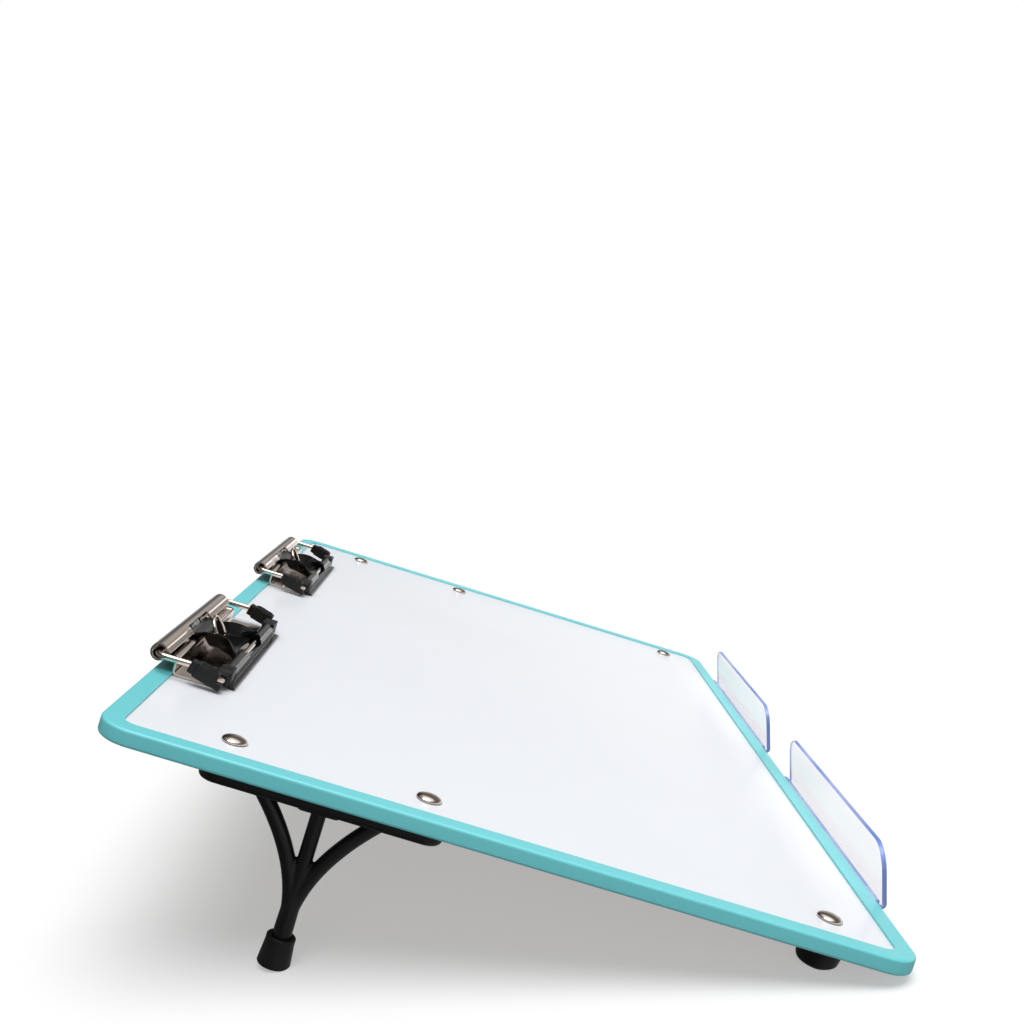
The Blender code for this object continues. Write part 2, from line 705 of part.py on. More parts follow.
def make_bail():
    """The bail wire, a rectangle whose two ends meet inside the left front tube."""
    left, right = bail_corners(-1), bail_corners(1)
    joint = clip_point(WIRE_FRONT_REACH, WIRE_FRONT_HEIGHT, -WIRE_JOINT_OFFSET)
    half_gap = Vector((WIRE_JOINT_GAP / 2, 0, 0))
    corners = [joint - half_gap] + left[::-1] + right + [joint + half_gap]
    path = rounded(corners, [WIRE_BEND_RADIUS] * 6, WIRE_BEND_STEPS)
    return swept(path, circle(WIRE_RADIUS, WIRE_SIDES))


def make_grip(x_side):
    """A rubber corner grip: a block round the wire, down one side and along part of the front."""
    _, drop, corner = bail_corners(x_side)
    slope = (corner - drop).normalized()
    start = drop + slope * ((GRIP_REAR_REACH - WIRE_DROP_REACH) / -slope.y)
    end = clip_point(WIRE_FRONT_REACH, WIRE_FRONT_HEIGHT, x_side * GRIP_INNER_OFFSET)
    path = rounded([start, corner, end], [WIRE_BEND_RADIUS], GRIP_BEND_STEPS)
    half_width, half_height = GRIP_WIDTH / 2, GRIP_HEIGHT / 2
    flat_width, flat_height = half_width - GRIP_CORNER_CHAMFER, half_height - GRIP_CORNER_CHAMFER
    section = [(half_width, flat_height), (flat_width, half_height), (-flat_width, half_height),
               (-half_width, flat_height), (-half_width, -flat_height), (-flat_width, -half_height),
               (flat_width, -half_height), (half_width, -flat_height)]
    block = swept(path, section)
    inward = Vector((x_side * CUT_OVERRUN, 0, 0))
    wire = rounded([start - slope * CUT_OVERRUN, corner, end - inward], [WIRE_BEND_RADIUS], WIRE_BEND_STEPS)
    return combined(block, [swept(wire, circle(WIRE_RADIUS + GAP, WIRE_SIDES))], 'DIFFERENCE')


def neck_sections():
    """Sections of the jaw's channel: reach, half width, height of the web and height of the walls."""
    flare_centre = NECK_HALF_WIDTH + NECK_FLARE_RADIUS
    wall_start = BARREL_HEIGHT + JAW_THICKNESS / 2 + GAP
    rim = WIRE_FRONT_HEIGHT + TUBE_RADIUS
    web_rear = BASE_WEB_REACH + BASE_THICKNESS
    sections = [(NECK_REAR_REACH, NECK_REAR_HALF_WIDTH, BARREL_HEIGHT, wall_start),
                (BASE_WEB_REACH * 2 / 3, NECK_REAR_HALF_WIDTH, BARREL_HEIGHT, wall_start),
                (web_rear, NECK_HALF_WIDTH, BARREL_HEIGHT, BARREL_HEIGHT + 2 * JAW_THICKNESS)]
    flare_shares = (0.0, 0.2, 0.4, 0.55, 0.7, 0.82, 0.92)
    wall_shares = (0.7, 1.0, 1.0, 0.95, 0.75, 0.45, 0.2)
    for share, wall_share in zip(flare_shares, wall_shares):
        across = flare_centre - NECK_FLARE_RADIUS * math.sqrt(1 - share ** 2)
        reach = NECK_FLARE_REACH + NECK_FLARE_RADIUS * share
        wall = rim + (NECK_WALL_HEIGHT - rim) * wall_share
        sections.append((reach, across, NECK_WEB_HEIGHT, wall))
    sections.append((NECK_FRONT_REACH, flare_centre, NECK_WEB_HEIGHT, rim - JAW_THICKNESS / 2))
    return sections


def make_neck():
    """The jaw's waisted channel, a web between two raised walls, skinned over its sections."""
    rings = []
    rows = neck_sections()
    for index, (reach, across, web, wall) in enumerate(rows):
        before, after = rows[max(index - 1, 0)], rows[min(index + 1, len(rows) - 1)]
        slope = (after[1] - before[1]) / (after[0] - before[0])
        inner = across - JAW_THICKNESS * math.sqrt(1 + slope ** 2)
        low, high = web - JAW_THICKNESS / 2, web + JAW_THICKNESS / 2
        section = [(across, low), (across, wall), (inner, wall), (inner, high),
                   (-inner, high), (-inner, wall), (-across, wall), (-across, low)]
        rings.append([clip_point(reach, height, x) for x, height in section])
    return lofted(rings)


def make_lip():
    """The pressing lip: a sheet that drops from the tubes and lies along the white face."""
    flat = GAP + JAW_THICKNESS / 2
    start = LIP_WALL_REACH - JAW_THICKNESS
    path = rounded([clip_point(start, WIRE_FRONT_HEIGHT), clip_point(LIP_WALL_REACH, flat),
                    clip_point(LIP_FRONT_REACH, flat)], [LIP_BEND_RADIUS], BEND_STEPS)
    sheet = cross_bar(sheet_outline(path, JAW_THICKNESS), -LIP_HALF_WIDTH, LIP_HALF_WIDTH)
    wall_end = TUBE_OUTER_OFFSET - GAP
    far = LIP_HALF_WIDTH + CUT_OVERRUN
    level = GAP + JAW_THICKNESS + GAP
    top = WIRE_FRONT_HEIGHT + CUT_OVERRUN
    cuts = [clip_box(low, high, start - CUT_OVERRUN, LIP_FRONT_REACH, level, top)
            for low, high in ((-far, -wall_end), (wall_end, far))]
    return combined(sheet, [gathered(cuts)], 'DIFFERENCE')


def make_lens_cutter():
    """Cutter for the lens-shaped finger opening between the two front tubes."""
    middle = (LENS_REAR_REACH + LENS_FRONT_REACH) / 2
    rise = LENS_FRONT_REACH - middle
    radius = (LENS_HALF_WIDTH ** 2 + rise ** 2) / (2 * rise)
    spread = math.asin(LENS_HALF_WIDTH / radius)
    top = math.pi / 2
    front = arc((0, middle - LENS_FRONT_REACH + radius), -radius, top + spread, top - spread, LENS_STEPS)
    rear = [(-x, -y) for x, y in front]
    y_middle = clip_point(middle, 0).y
    outline = [(x, y_middle + y) for x, y in front[:-1] + rear[:-1]]
    return prism(outline, -BARREL_HEIGHT, BARREL_HEIGHT)


def make_jaw():
    """The jaw: channel, knuckles, front tubes, lip and ring lugs as one pressing, with its openings."""
    knuckles, tubes, lugs, wire_bores = [], [], [], []
    for side in (-1, 1):
        knuckles.append(clip_bar(BARREL_REACH, BARREL_HEIGHT, side * KNUCKLE_INNER_OFFSET,
                                 side * KNUCKLE_OUTER_OFFSET, KNUCKLE_RADIUS, BORE_SIDES))
        tubes.append(clip_bar(WIRE_FRONT_REACH, WIRE_FRONT_HEIGHT, side * TUBE_INNER_OFFSET,
                              side * TUBE_OUTER_OFFSET, TUBE_RADIUS, TUBE_SIDES))
        lugs.append(clip_bar(RING_REACH, RING_HEIGHT, side * LUG_OFFSET - LUG_THICKNESS / 2,
                             side * LUG_OFFSET + LUG_THICKNESS / 2, LUG_RADIUS, HOLE_SIDES))
    half = TUBE_OUTER_OFFSET + CUT_OVERRUN
    bores = [clip_bar(BARREL_REACH, BARREL_HEIGHT, -half, half, WIRE_BORE_RADIUS, BORE_SIDES),
             clip_bar(WIRE_FRONT_REACH, WIRE_FRONT_HEIGHT, -half, half, WIRE_BORE_RADIUS, BORE_SIDES),
             clip_bar(RING_REACH, RING_HEIGHT, -NECK_HALF_WIDTH / 2, NECK_HALF_WIDTH / 2,
                      RING_WIRE_RADIUS + GAP, HOLE_SIDES)]
    spring_half = KNUCKLE_INNER_OFFSET - GAP
    pocket = clip_box(-spring_half, spring_half, BARREL_REACH - KNUCKLE_RADIUS, BARREL_REACH + BARREL_RADIUS,
                      BARREL_HEIGHT - KNUCKLE_RADIUS, BARREL_HEIGHT + KNUCKLE_RADIUS)
    half_window = WINDOW_SIZE / 2
    windows = [clip_box(side * WINDOW_OFFSET - half_window, side * WINDOW_OFFSET + half_window,
                        WINDOW_REACH - half_window, WINDOW_REACH + half_window,
                        NECK_WEB_HEIGHT - CUT_OVERRUN, NECK_WEB_HEIGHT + CUT_OVERRUN) for side in (-1, 1)]
    pressing = combined(make_neck(), [gathered(knuckles + tubes + lugs), make_lip()], 'UNION')
    openings = [gathered(bores + windows), pocket, make_lens_cutter()]
    return combined(pressing, openings, 'DIFFERENCE')


def make_spring():
    """The torsion spring: an open helix round the wire, from side to side of the space it has."""
    length = SPRING_PITCH * SPRING_TURNS
    count = SPRING_TURNS * SPRING_STEPS
    points = []
    for step in range(count + 1):
        turn = math.tau * step / SPRING_STEPS
        x = length * (step / count) - length / 2
        points.append(Vector((x, SPRING_RADIUS * math.cos(turn), SPRING_RADIUS * math.sin(turn))))
    print("spring: least gap to itself", round(least_turn_gap(points) / MM, 2), "mm")
    return swept(points, circle(SPRING_WIRE_RADIUS, 6))


def least_turn_gap(points):
    """Least clear space between the helix's points that lie at least half a turn apart."""
    gaps = []
    for index, point in enumerate(points):
        for other in points[index + SPRING_STEPS // 2:]:
            gaps.append((other - point).length - 2 * SPRING_WIRE_RADIUS)
    return min(gaps)


def make_hang_ring():
    """The hang ring, drawn about its straight bar and leant back towards the barrel."""
    half, straight = RING_HALF_WIDTH, RING_STRAIGHT + RING_CORNER_RADIUS
    corners = [Vector((0, 0, 0)), Vector((half, 0, 0)), Vector((half, 0, straight))]
    path = rounded(corners, [RING_CORNER_RADIUS], BEND_STEPS)
    path += [Vector((x, 0, z)) for x, z in arc((0, straight), half, 0, math.pi, RING_STEPS)[1:]]
    left = [Vector((-half, 0, straight)), Vector((-half, 0, 0)), Vector((0, 0, 0))]
    path += rounded(left, [RING_CORNER_RADIUS], BEND_STEPS)[1:-1]
    ring = swept(path, circle(RING_WIRE_RADIUS, RING_SIDES), closed=True)
    ring.transform(Matrix.Rotation(-RING_LEAN, 4, 'X'))
    return ring


# Ledges, drawn from the middle of the board's bottom edge

def make_ledge():
    """A clear ledge, with round top corners on its upright."""
    flange = -(2 * GAP + TAPE_THICKNESS + LEDGE_THICKNESS / 2)
    shelf = LEDGE_SHELF_BOTTOM + LEDGE_THICKNESS / 2
    outer = flange - LEDGE_THICKNESS - LEDGE_SLOT
    top = FACE_TOP + LEDGE_RISE
    leant = outer + (top - shelf) * math.tan(LEDGE_LEAN)
    corners = [(0, flange, LEDGE_FLANGE_TOP), (0, flange, shelf), (0, outer, shelf), (0, leant, top)]
    path = rounded(corners, [LEDGE_BEND_RADIUS, LEDGE_BEND_RADIUS], BEND_STEPS)
    profile = sheet_outline(path, LEDGE_THICKNESS)
    ledge = cross_bar(profile, -LEDGE_LENGTH / 2, LEDGE_LENGTH / 2)

    def is_top_corner(edge):
        ends = [vertex.co for vertex in edge.verts]
        at_top = all(end.z > top - LEDGE_THICKNESS for end in ends)
        return at_top and abs(ends[0].x - ends[1].x) < GAP

    return with_rounded_edges(ledge, is_top_corner, LEDGE_CORNER_RADIUS, LEDGE_CORNER_STEPS)


def make_tape():
    """The strip of clear tape between a ledge's flange and the trim."""
    near, far = -GAP - TAPE_THICKNESS, -GAP
    half = LEDGE_LENGTH / 2 - TAPE_MARGIN
    return box(-half, half, near, far, LEDGE_SHELF_BOTTOM, LEDGE_SHELF_BOTTOM + TAPE_HEIGHT)


# Assembly

def build_board(frame):
    """The core, the face and the trim."""
    core = finish("core_board", (0.33, 0.24, 0.15), 0.8)
    white = finish("white_face", (0.88, 0.90, 0.93), 0.16)
    teal = finish("teal_trim", (0.09, 0.60, 0.62), 0.42)
    place("core_panel", make_panel_layer(CORE_BOTTOM, CORE_TOP), core, frame)
    place("face_sheet", make_panel_layer(FACE_BOTTOM, FACE_TOP), white, frame)
    place("edge_trim", make_trim(), teal, frame)


def build_legs(frame, nickel, rubber):
    """Both legs and both front feet, with their screws."""
    coat = finish("leg_coat", (0.02, 0.02, 0.022), 0.5, 0.3)
    pieces = (("plate", make_leg_plate(), coat), ("post", make_leg_post(), coat),
              ("rear_brace", make_brace(1), coat), ("front_brace", make_brace(-1), coat),
              ("cap", make_leg_cap(), rubber))
    foot = make_front_foot()
    for side_name, side in SIDES:
        leg = pivot("leg_" + side_name, frame, (side * SCREW_OFFSET, LEG_DISTANCE, UNDERSIDE_SEAT))
        for piece_name, mesh, material in pieces:
            place("leg_" + side_name + "_" + piece_name, mesh, material, leg)
        place("front_foot_" + side_name, foot, rubber, frame,
              (side * SCREW_OFFSET, FOOT_DISTANCE, UNDERSIDE_SEAT))
    screw = make_screw()
    for name, (x, y) in screw_places().items():
        place(name, screw, nickel, frame, (x, y, FACE_TOP + GAP))


def build_clips(frame, nickel, rubber):
    """Both clips. The moving pieces have their origin on the barrel's axis."""
    black = finish("black_steel", (0.018, 0.018, 0.02), 0.35, 0.6)
    pieces = (("base", make_clip_base(), nickel), ("bail", make_bail(), nickel),
              ("grip_left", make_grip(-1), rubber), ("grip_right", make_grip(1), rubber),
              ("jaw", make_jaw(), black), ("spring", make_spring(), nickel))
    ring = make_hang_ring()
    for side_name, side in SIDES:
        clip = "clip_" + side_name
        axis = (side * CLIP_OFFSET, BOARD_DEPTH - BARREL_REACH, FACE_TOP + BARREL_HEIGHT)
        barrel = pivot(clip + "_barrel_axis", frame, axis)
        for piece_name, mesh, material in pieces:
            place(clip + "_" + piece_name, mesh, material, barrel)
        place(clip + "_hang_ring", ring, nickel, barrel, clip_point(RING_REACH, RING_HEIGHT))
    rivet = make_rivet()
    for name, (x, y) in rivet_places().items():
        place(name, rivet, nickel, frame, (x, y, FACE_TOP + GAP))


def build_ledges(frame):
    """Both clear ledges and their tape."""
    clear = finish("clear_acrylic", (0.80, 0.86, 0.95), 0.05, 0.0, 0.35)
    tape = finish("clear_tape", (0.85, 0.88, 0.90), 0.3, 0.0, 0.6)
    ledge, strip = make_ledge(), make_tape()
    for side_name, side in SIDES:
        place("ledge_" + side_name, ledge, clear, frame, (side * LEDGE_OFFSET, 0, 0))
        place("ledge_tape_" + side_name, strip, tape, frame, (side * LEDGE_OFFSET, 0, 0))


def stand_on_floor(frame):
    """Tilts the board, then sets the middle of the whole object over the origin and its feet at zero."""
    frame.rotation_euler = (BOARD_TILT, 0, 0)
    bpy.context.view_layer.update()
    solids = [node for node in bpy.data.objects if node.type == 'MESH']
    points = [node.matrix_world @ vertex.co for node in solids for vertex in node.data.vertices]
    low = Vector([min(point[axis] for point in points) for axis in range(3)])
    high = Vector([max(point[axis] for point in points) for axis in range(3)])
    frame.location = (-(low.x + high.x) / 2, -(low.y + high.y) / 2, -low.z)
    bpy.context.view_layer.update()


def main():
    for item in list(bpy.data.objects):
        bpy.data.objects.remove(item)
    frame = pivot("board_frame", None, (0, 0, 0))
    nickel = finish("nickel_plate", (0.66, 0.60, 0.56), 0.22, 1.0)
    rubber = finish("black_rubber", (0.02, 0.02, 0.02), 0.7)
    build_board(frame)
    build_legs(frame, nickel, rubber)
    build_clips(frame, nickel, rubber)
    build_ledges(frame)
    stand_on_floor(frame)


main()
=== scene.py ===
"""Slant board: the finished look of a white writing panel in a teal edge trim, with its legs and feet, two
spring clips and two clear ledges.

Each new piece is modelled flat, in the board's own frame: X across the board, Y up its slope from the bottom
edge and Z square to it, from the underside of the trim. A clip's pieces are modelled about the middle of
their own clip, a ledge about its own middle, and screws, legs and feet about their own axis. set_on_board
then tilts a finished piece with the board and leaves its place in its mesh.
"""
import math

import bmesh
import bpy
from mathutils import Matrix, Vector


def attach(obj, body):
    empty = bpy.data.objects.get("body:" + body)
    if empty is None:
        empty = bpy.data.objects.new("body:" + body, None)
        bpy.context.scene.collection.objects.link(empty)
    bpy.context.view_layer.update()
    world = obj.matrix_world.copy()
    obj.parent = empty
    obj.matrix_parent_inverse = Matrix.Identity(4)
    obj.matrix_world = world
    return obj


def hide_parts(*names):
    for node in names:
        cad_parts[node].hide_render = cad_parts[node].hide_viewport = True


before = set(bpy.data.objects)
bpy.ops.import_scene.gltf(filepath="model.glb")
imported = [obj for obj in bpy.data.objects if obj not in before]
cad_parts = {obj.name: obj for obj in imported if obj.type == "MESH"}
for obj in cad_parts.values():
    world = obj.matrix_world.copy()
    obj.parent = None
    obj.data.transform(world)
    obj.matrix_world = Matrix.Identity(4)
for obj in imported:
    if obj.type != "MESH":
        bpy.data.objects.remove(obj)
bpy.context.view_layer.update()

MM = 0.001
MERGE_DISTANCE = 0.002 * MM
NEAR = 0.01 * MM


def millimetres(*sizes):
    """Sizes that are written in millimetres."""
    return tuple(size * MM for size in sizes)


def table(*rows):
    """Rows of such sizes."""
    return tuple(millimetres(*row) for row in rows)


BOARD_WIDTH = 610.0 * MM
BOARD_DEPTH = 356.0 * MM
BOARD_THICKNESS = 7.5 * MM
BOARD_TILT = math.radians(17.4)
BOARD_PLACE = Vector((0.0, -165.3666 * MM, 2.5112 * MM))
CORNER_RADIUS = 16.0 * MM
LIP_WIDTH = 9.5 * MM
LIP_THICKNESS = 1.05 * MM
TRIM_EDGE_RADIUS = 1.4 * MM
FACE_TOP = 6.4 * MM
SEAT = 0.8 * MM
GAP = 0.3 * MM

SCREW_OFFSET = 277.0 * MM
LEG_DISTANCE = 259.0 * MM
SCREW_SPACING = 86.0 * MM
SCREW_HEAD_RADIUS = 5.8 * MM
SCREW_HEAD_HEIGHT = 2.5 * MM
SCREW_SHANK_RADIUS = 2.5 * MM
FOOT_DISTANCE = 35.0 * MM
FOOT_STAND = 13.6 * MM
FOOT_RADIUS = 10.5 * MM
PLATE_LENGTH = 106.6 * MM
PLATE_WIDTH = 30.0 * MM
PLATE_THICKNESS = 9.5 * MM
PLATE_END_SHARE = 0.27
PAD_LENGTH = 18.0 * MM
PAD_THICKNESS = 1.6 * MM
BRACE_DROP = 56.0 * MM
BRACE_SPREAD = 27.5 * MM
BRACE_RADIUS = 3.5 * MM
CAP_RADIUS = 7.4 * MM
CAP_CUT = 1.2 * MM

# The post, from where the braces meet it: radius and height
POST = table((4.25, 0.0), (4.1, 8.0), (3.6, 15.0), (3.4, 22.0))

# The leg cap, from its low end: radius and height, up the outside, over the rolled rim and down the bore
CAP = table((6.4, 0.0), (7.1, 0.3), (7.4, 0.9), (7.2, 3.0), (6.5, 10.2), (6.45, 10.8), (6.5, 12.9),
            (6.1, 13.4), (4.75, 13.4), (4.55, 12.9), (4.55, 4.0))

CLIP_OFFSET = 138.0 * MM
CLIP_WIDTH = 142.0 * MM
SHEET = 1.2 * MM
BARREL_REACH = 1.0 * MM
BARREL_HEIGHT = 9.3 * MM
BARREL_RADIUS = 3.8 * MM
WEB_REACH = 9.8 * MM
BASE_REACH = 30.5 * MM
FLANGE_HEIGHT = 7.4 * MM
NOTCH_HALF = 21.5 * MM
NOTCH_DEGREES = (-12.0, 70.0)
WIRE_RADIUS = 1.6 * MM
WIRE_OFFSET = 76.2 * MM
WIRE_BEND = 5.0 * MM
DROP_REACH = 17.0 * MM
FRONT_REACH = 33.0 * MM
FRONT_HEIGHT = 5.0 * MM
WIRE_SLOPE = math.atan2(BARREL_HEIGHT - FRONT_HEIGHT, FRONT_REACH - DROP_REACH)
JAW_SHEET = 1.0 * MM
RING_REACH = 18.0 * MM
RING_HEIGHT = 6.5 * MM
RING_LEAN = math.radians(35.0)
RING_WIRE_RADIUS = 0.9 * MM

# The jaw's channel: reach, half width, height of the web, height of the walls and how far they flare
NECK = table(
    (3.2, 20.0, 9.3, 10.1, 0.0), (6.5, 20.0, 9.3, 10.1, 0.0), (9.0, 18.2, 9.3, 10.6, 0.0),
    (11.0, 15.7, 9.2, 11.3, 0.2), (12.8, 15.5, 6.9, 11.3, 0.4), (14.5, 15.7, 4.9, 11.6, 0.6),
    (16.5, 15.8, 4.8, 12.2, 0.8), (18.5, 16.2, 4.8, 12.5, 0.9), (20.5, 16.9, 4.8, 12.5, 1.0),
    (22.8, 18.2, 4.8, 12.2, 1.2), (25.0, 20.0, 4.8, 11.4, 1.4), (26.8, 22.1, 4.8, 10.4, 1.5),
    (28.3, 24.8, 4.8, 9.4, 1.5), (30.2, 28.0, 4.8, 8.6, 1.2), (31.8, 30.7, 4.8, 8.0, 0.8))

LEDGE_OFFSET = 131.0 * MM
LEDGE_LENGTH = 194.0 * MM
LEDGE_THICKNESS = 2.4 * MM
LEDGE_RISE = 25.0 * MM
LEDGE_SLOT = 2.0 * MM
LEDGE_LEAN = math.radians(19.0)
LEDGE_CORNER_RADIUS = 12.0 * MM
TAPE_THICKNESS = 0.6 * MM

FLOOR_SIZE = 40.0
FLOOR_TONE = 0.57
FLOOR_GLOW = 0.40

# The room that metal shows: place from bottom to top, from 0 to 1, and brightness
ROOM_BANDS = ((0.0, 0.36), (0.38, 0.34), (0.45, 0.28), (0.475, 0.75), (0.505, 1.4), (0.545, 1.4),
              (0.563, 0.28), (0.585, 0.3), (0.605, 0.45), (0.65, 0.5), (0.685, 0.14), (0.85, 0.17),
              (0.92, 1.3), (1.0, 1.3))
ROOM_FALL = (("From Min", -0.01), ("From Max", 0.15), ("To Min", 1.0), ("To Max", 0.3))

# Lights: name, degrees of lean and of spread, strength, and whether glossy pieces show it
LIGHTS = (("top_light", 12.0, 46.0, 2.06, True), ("side_fill", 80.0, 60.0, 0.72, False))
LIGHT_HEIGHT = 2.0

CAMERA_PLACE = (-0.82885, 0.01231, 0.25259)
CAMERA_DEGREES = (84.198, 0.027, -90.934)
CAMERA_LENS = 46.725
CAMERA_SENSOR = 36.0
CAMERA_NEAREST = 0.01

# With no window, a spin turns the other way
SPIN_SENSE = -1.0

ON_BOARD = Matrix.Translation(BOARD_PLACE) @ Matrix.Rotation(BOARD_TILT, 4, 'X')
SIDES = (("left", -1), ("right", 1))


# Modelling moves

def clear_selection():
    """Leaves edit mode with nothing selected, so that the next move touches only its own piece."""
    if bpy.context.mode != 'OBJECT':
        bpy.ops.object.mode_set(mode='OBJECT')
    bpy.ops.object.select_all(action='DESELECT')


def pick(piece):
    """Makes a piece the only one selected, and the active one."""
    clear_selection()
    piece.select_set(True)
    bpy.context.view_layer.objects.active = piece


def start_piece(name, size=(1, 1, 1)):
    """Names the primitive just added, turns its size and place into mesh and opens it for editing."""
    piece = bpy.context.active_object
    piece.scale = size
    piece.name = name
    piece.data.name = name
    bpy.ops.object.transform_apply(location=True, rotation=True, scale=True)
    bpy.ops.object.mode_set(mode='EDIT')
    return piece


def open_up(piece):
    """Opens a piece for editing again, with all of it selected."""
    pick(piece)
    bpy.ops.object.mode_set(mode='EDIT')
    bpy.ops.mesh.select_all(action='SELECT')


def choose(piece, kind, test):
    """Selects the faces, edges or corners of the open piece that a test on place or direction picks."""
    bpy.ops.mesh.select_mode(type=kind)
    bpy.ops.mesh.select_all(action='DESELECT')
    mesh = bmesh.from_edit_mesh(piece.data)
    for item in {'FACE': mesh.faces, 'EDGE': mesh.edges, 'VERT': mesh.verts}[kind]:
        item.select_set(test(item))
    if kind != 'FACE':
        mesh.select_flush_mode()
    bmesh.update_edit_mesh(piece.data)


def upright(rise):
    """Picks the edges that rise by more than a height."""
    def test(edge):
        return abs(edge.verts[0].co.z - edge.verts[1].co.z) > rise
    return test


def along_end(place):
    """Picks the edges of a sheet that lie along its working end."""
    def test(edge):
        return all(math.hypot(end.co.y - place.y, end.co.z - place.z) < NEAR for end in edge.verts)
    return test


def end_face(face):
    """Picks the round ends of a bar, whose other faces have four corners."""
    return len(face.verts) > 4


def pull(travel):
    """Extrudes what is selected by a travel."""
    bpy.ops.mesh.extrude_region_move(TRANSFORM_OT_translate={"value": travel})


def round_off(radius, segments, affect='EDGES'):
    """Rounds the edges or corners that are selected."""
    bpy.ops.mesh.bevel(offset=radius, segments=segments, profile=0.5, affect=affect)


def close_shell(piece):
    """Merges doubled corners and turns the faces of the open piece outwards."""
    bpy.ops.mesh.select_mode(type='VERT')
    bpy.ops.mesh.select_all(action='SELECT')
    bpy.ops.mesh.remove_doubles(threshold=MERGE_DISTANCE)
    bpy.ops.mesh.normals_make_consistent(inside=False)
    bpy.ops.object.mode_set(mode='OBJECT')
    return piece


def face_outwards(piece):
    """Turns the faces of a closed piece outwards."""
    open_up(piece)
    bpy.ops.mesh.normals_make_consistent(inside=False)
    bpy.ops.object.mode_set(mode='OBJECT')


def take_away(piece, test):
    """Deletes the faces of a piece that a test picks."""
    open_up(piece)
    choose(piece, 'FACE', test)
    bpy.ops.mesh.delete(type='FACE')
    bpy.ops.object.mode_set(mode='OBJECT')


def cut_flat(piece, place, normal, **cleared):
    """Cuts a piece flat at a plane, clears the side that is named and closes the cut."""
    open_up(piece)
    bpy.ops.mesh.bisect(plane_co=place, plane_no=normal, use_fill=True, **cleared)
    return close_shell(piece)


def apply_modifier(piece, kind, **settings):
    """Adds a modifier to a piece with its settings and applies it."""
    pick(piece)
    modifier = piece.modifiers.new(kind.lower(), kind)
    for name, value in settings.items():
        setattr(modifier, name, value)
    bpy.ops.object.modifier_apply(modifier=modifier.name)


def soften(piece, width, segments, angle):
    """Rounds the sharp edges of a finished shape."""
    apply_modifier(piece, 'BEVEL', width=width, segments=segments, limit_method='ANGLE',
                   angle_limit=math.radians(angle), harden_normals=False)


def polish(piece, angle):
    """Smooth shading up to an angle, with the broad faces kept flat."""
    pick(piece)
    bpy.ops.object.shade_smooth_by_angle(angle=math.radians(angle))
    apply_modifier(piece, 'WEIGHTED_NORMAL', keep_sharp=True, weight=80)


def give_thickness(sheet, thickness, soft, **settings):
    """Gives a sheet its wall and rounds the edges of the wall."""
    apply_modifier(sheet, 'SOLIDIFY', thickness=thickness, offset=0.0, use_even_offset=True, **settings)
    face_outwards(sheet)
    soften(sheet, soft, 2, 50.0)
    polish(sheet, 40.0)


def join_pieces(name, pieces):
    """Joins several modelled shapes as one piece."""
    clear_selection()
    for piece in pieces:
        piece.select_set(True)
    bpy.context.view_layer.objects.active = pieces[0]
    bpy.ops.object.join()
    pieces[0].name = name
    return pieces[0]


def block(name, place, size, turn, soft):
    """A moulded block with softened edges, turned about the X axis."""
    clear_selection()
    bpy.ops.mesh.primitive_cube_add(size=1, location=place, rotation=(turn, 0, 0))
    piece = start_piece(name, size)
    close_shell(piece)
    soften(piece, soft, 3, 50.0)
    return piece


def raise_rings(name, centre, profile, sides):
    """A round solid: a disc is pulled and resized from ring to ring, along its radii and heights."""
    clear_selection()
    radius, height = profile[0]
    bpy.ops.mesh.primitive_circle_add(vertices=sides, radius=radius, fill_type='NGON',
                                      location=centre + Vector((0, 0, height)))
    piece = start_piece(name)
    for (old_radius, old_height), (new_radius, new_height) in zip(profile, profile[1:]):
        pull((0, 0, new_height - old_height))
        share = new_radius / old_radius
        bpy.ops.transform.resize(value=(share, share, share),
                                 center_override=centre + Vector((0, 0, new_height)))
    return close_shell(piece)


def dome(radius, height, rim, steps):
    """Radii and heights of a dome, from its rim up to a small flat tip."""
    tip_share = 0.06
    points = [(radius, rim)]
    for step in range(1, steps + 1):
        turn = step / steps * math.acos(tip_share)
        points.append((radius * math.cos(turn), rim + (height - rim) * math.sin(turn)))
    return points


def bent_sheet(name, half_width, start, end, moves, seams=()):
    """A sheet whose end is pulled along a profile: lengths are straight runs and (radius, angle) pairs are
    bends about the X axis. start and end are the first two points of its middle line, seams are cuts across
    its width that let a part of it be taken away later."""
    clear_selection()
    first, place = Vector(start), Vector(end)
    length = (place - first).length
    heading = (place - first).normalized()
    bpy.ops.mesh.primitive_plane_add(size=1, location=(first + place) / 2,
                                     rotation=(math.atan2(heading.z, heading.y), 0, 0))
    sheet = start_piece(name, (2 * half_width, length, 1))
    for seam in seams:
        bpy.ops.mesh.select_all(action='SELECT')
        bpy.ops.mesh.bisect(plane_co=(seam, 0, 0), plane_no=(1, 0, 0))
    choose(sheet, 'EDGE', along_end(place))
    for move in moves:
        if isinstance(move, tuple):
            radius, angle = move
            normal = Vector((1, 0, 0)).cross(heading) * math.copysign(1, angle)
            centre = place + normal * radius
            steps = max(2, round(abs(angle) / math.radians(9)))
            bpy.ops.mesh.spin(steps=steps, angle=SPIN_SENSE * angle, center=centre, axis=(1, 0, 0))
            turn = Matrix.Rotation(angle, 3, 'X')
            place = centre + turn @ (place - centre)
            heading = turn @ heading
        else:
            pull(heading * move)
            place = place + heading * move
    return close_shell(sheet)


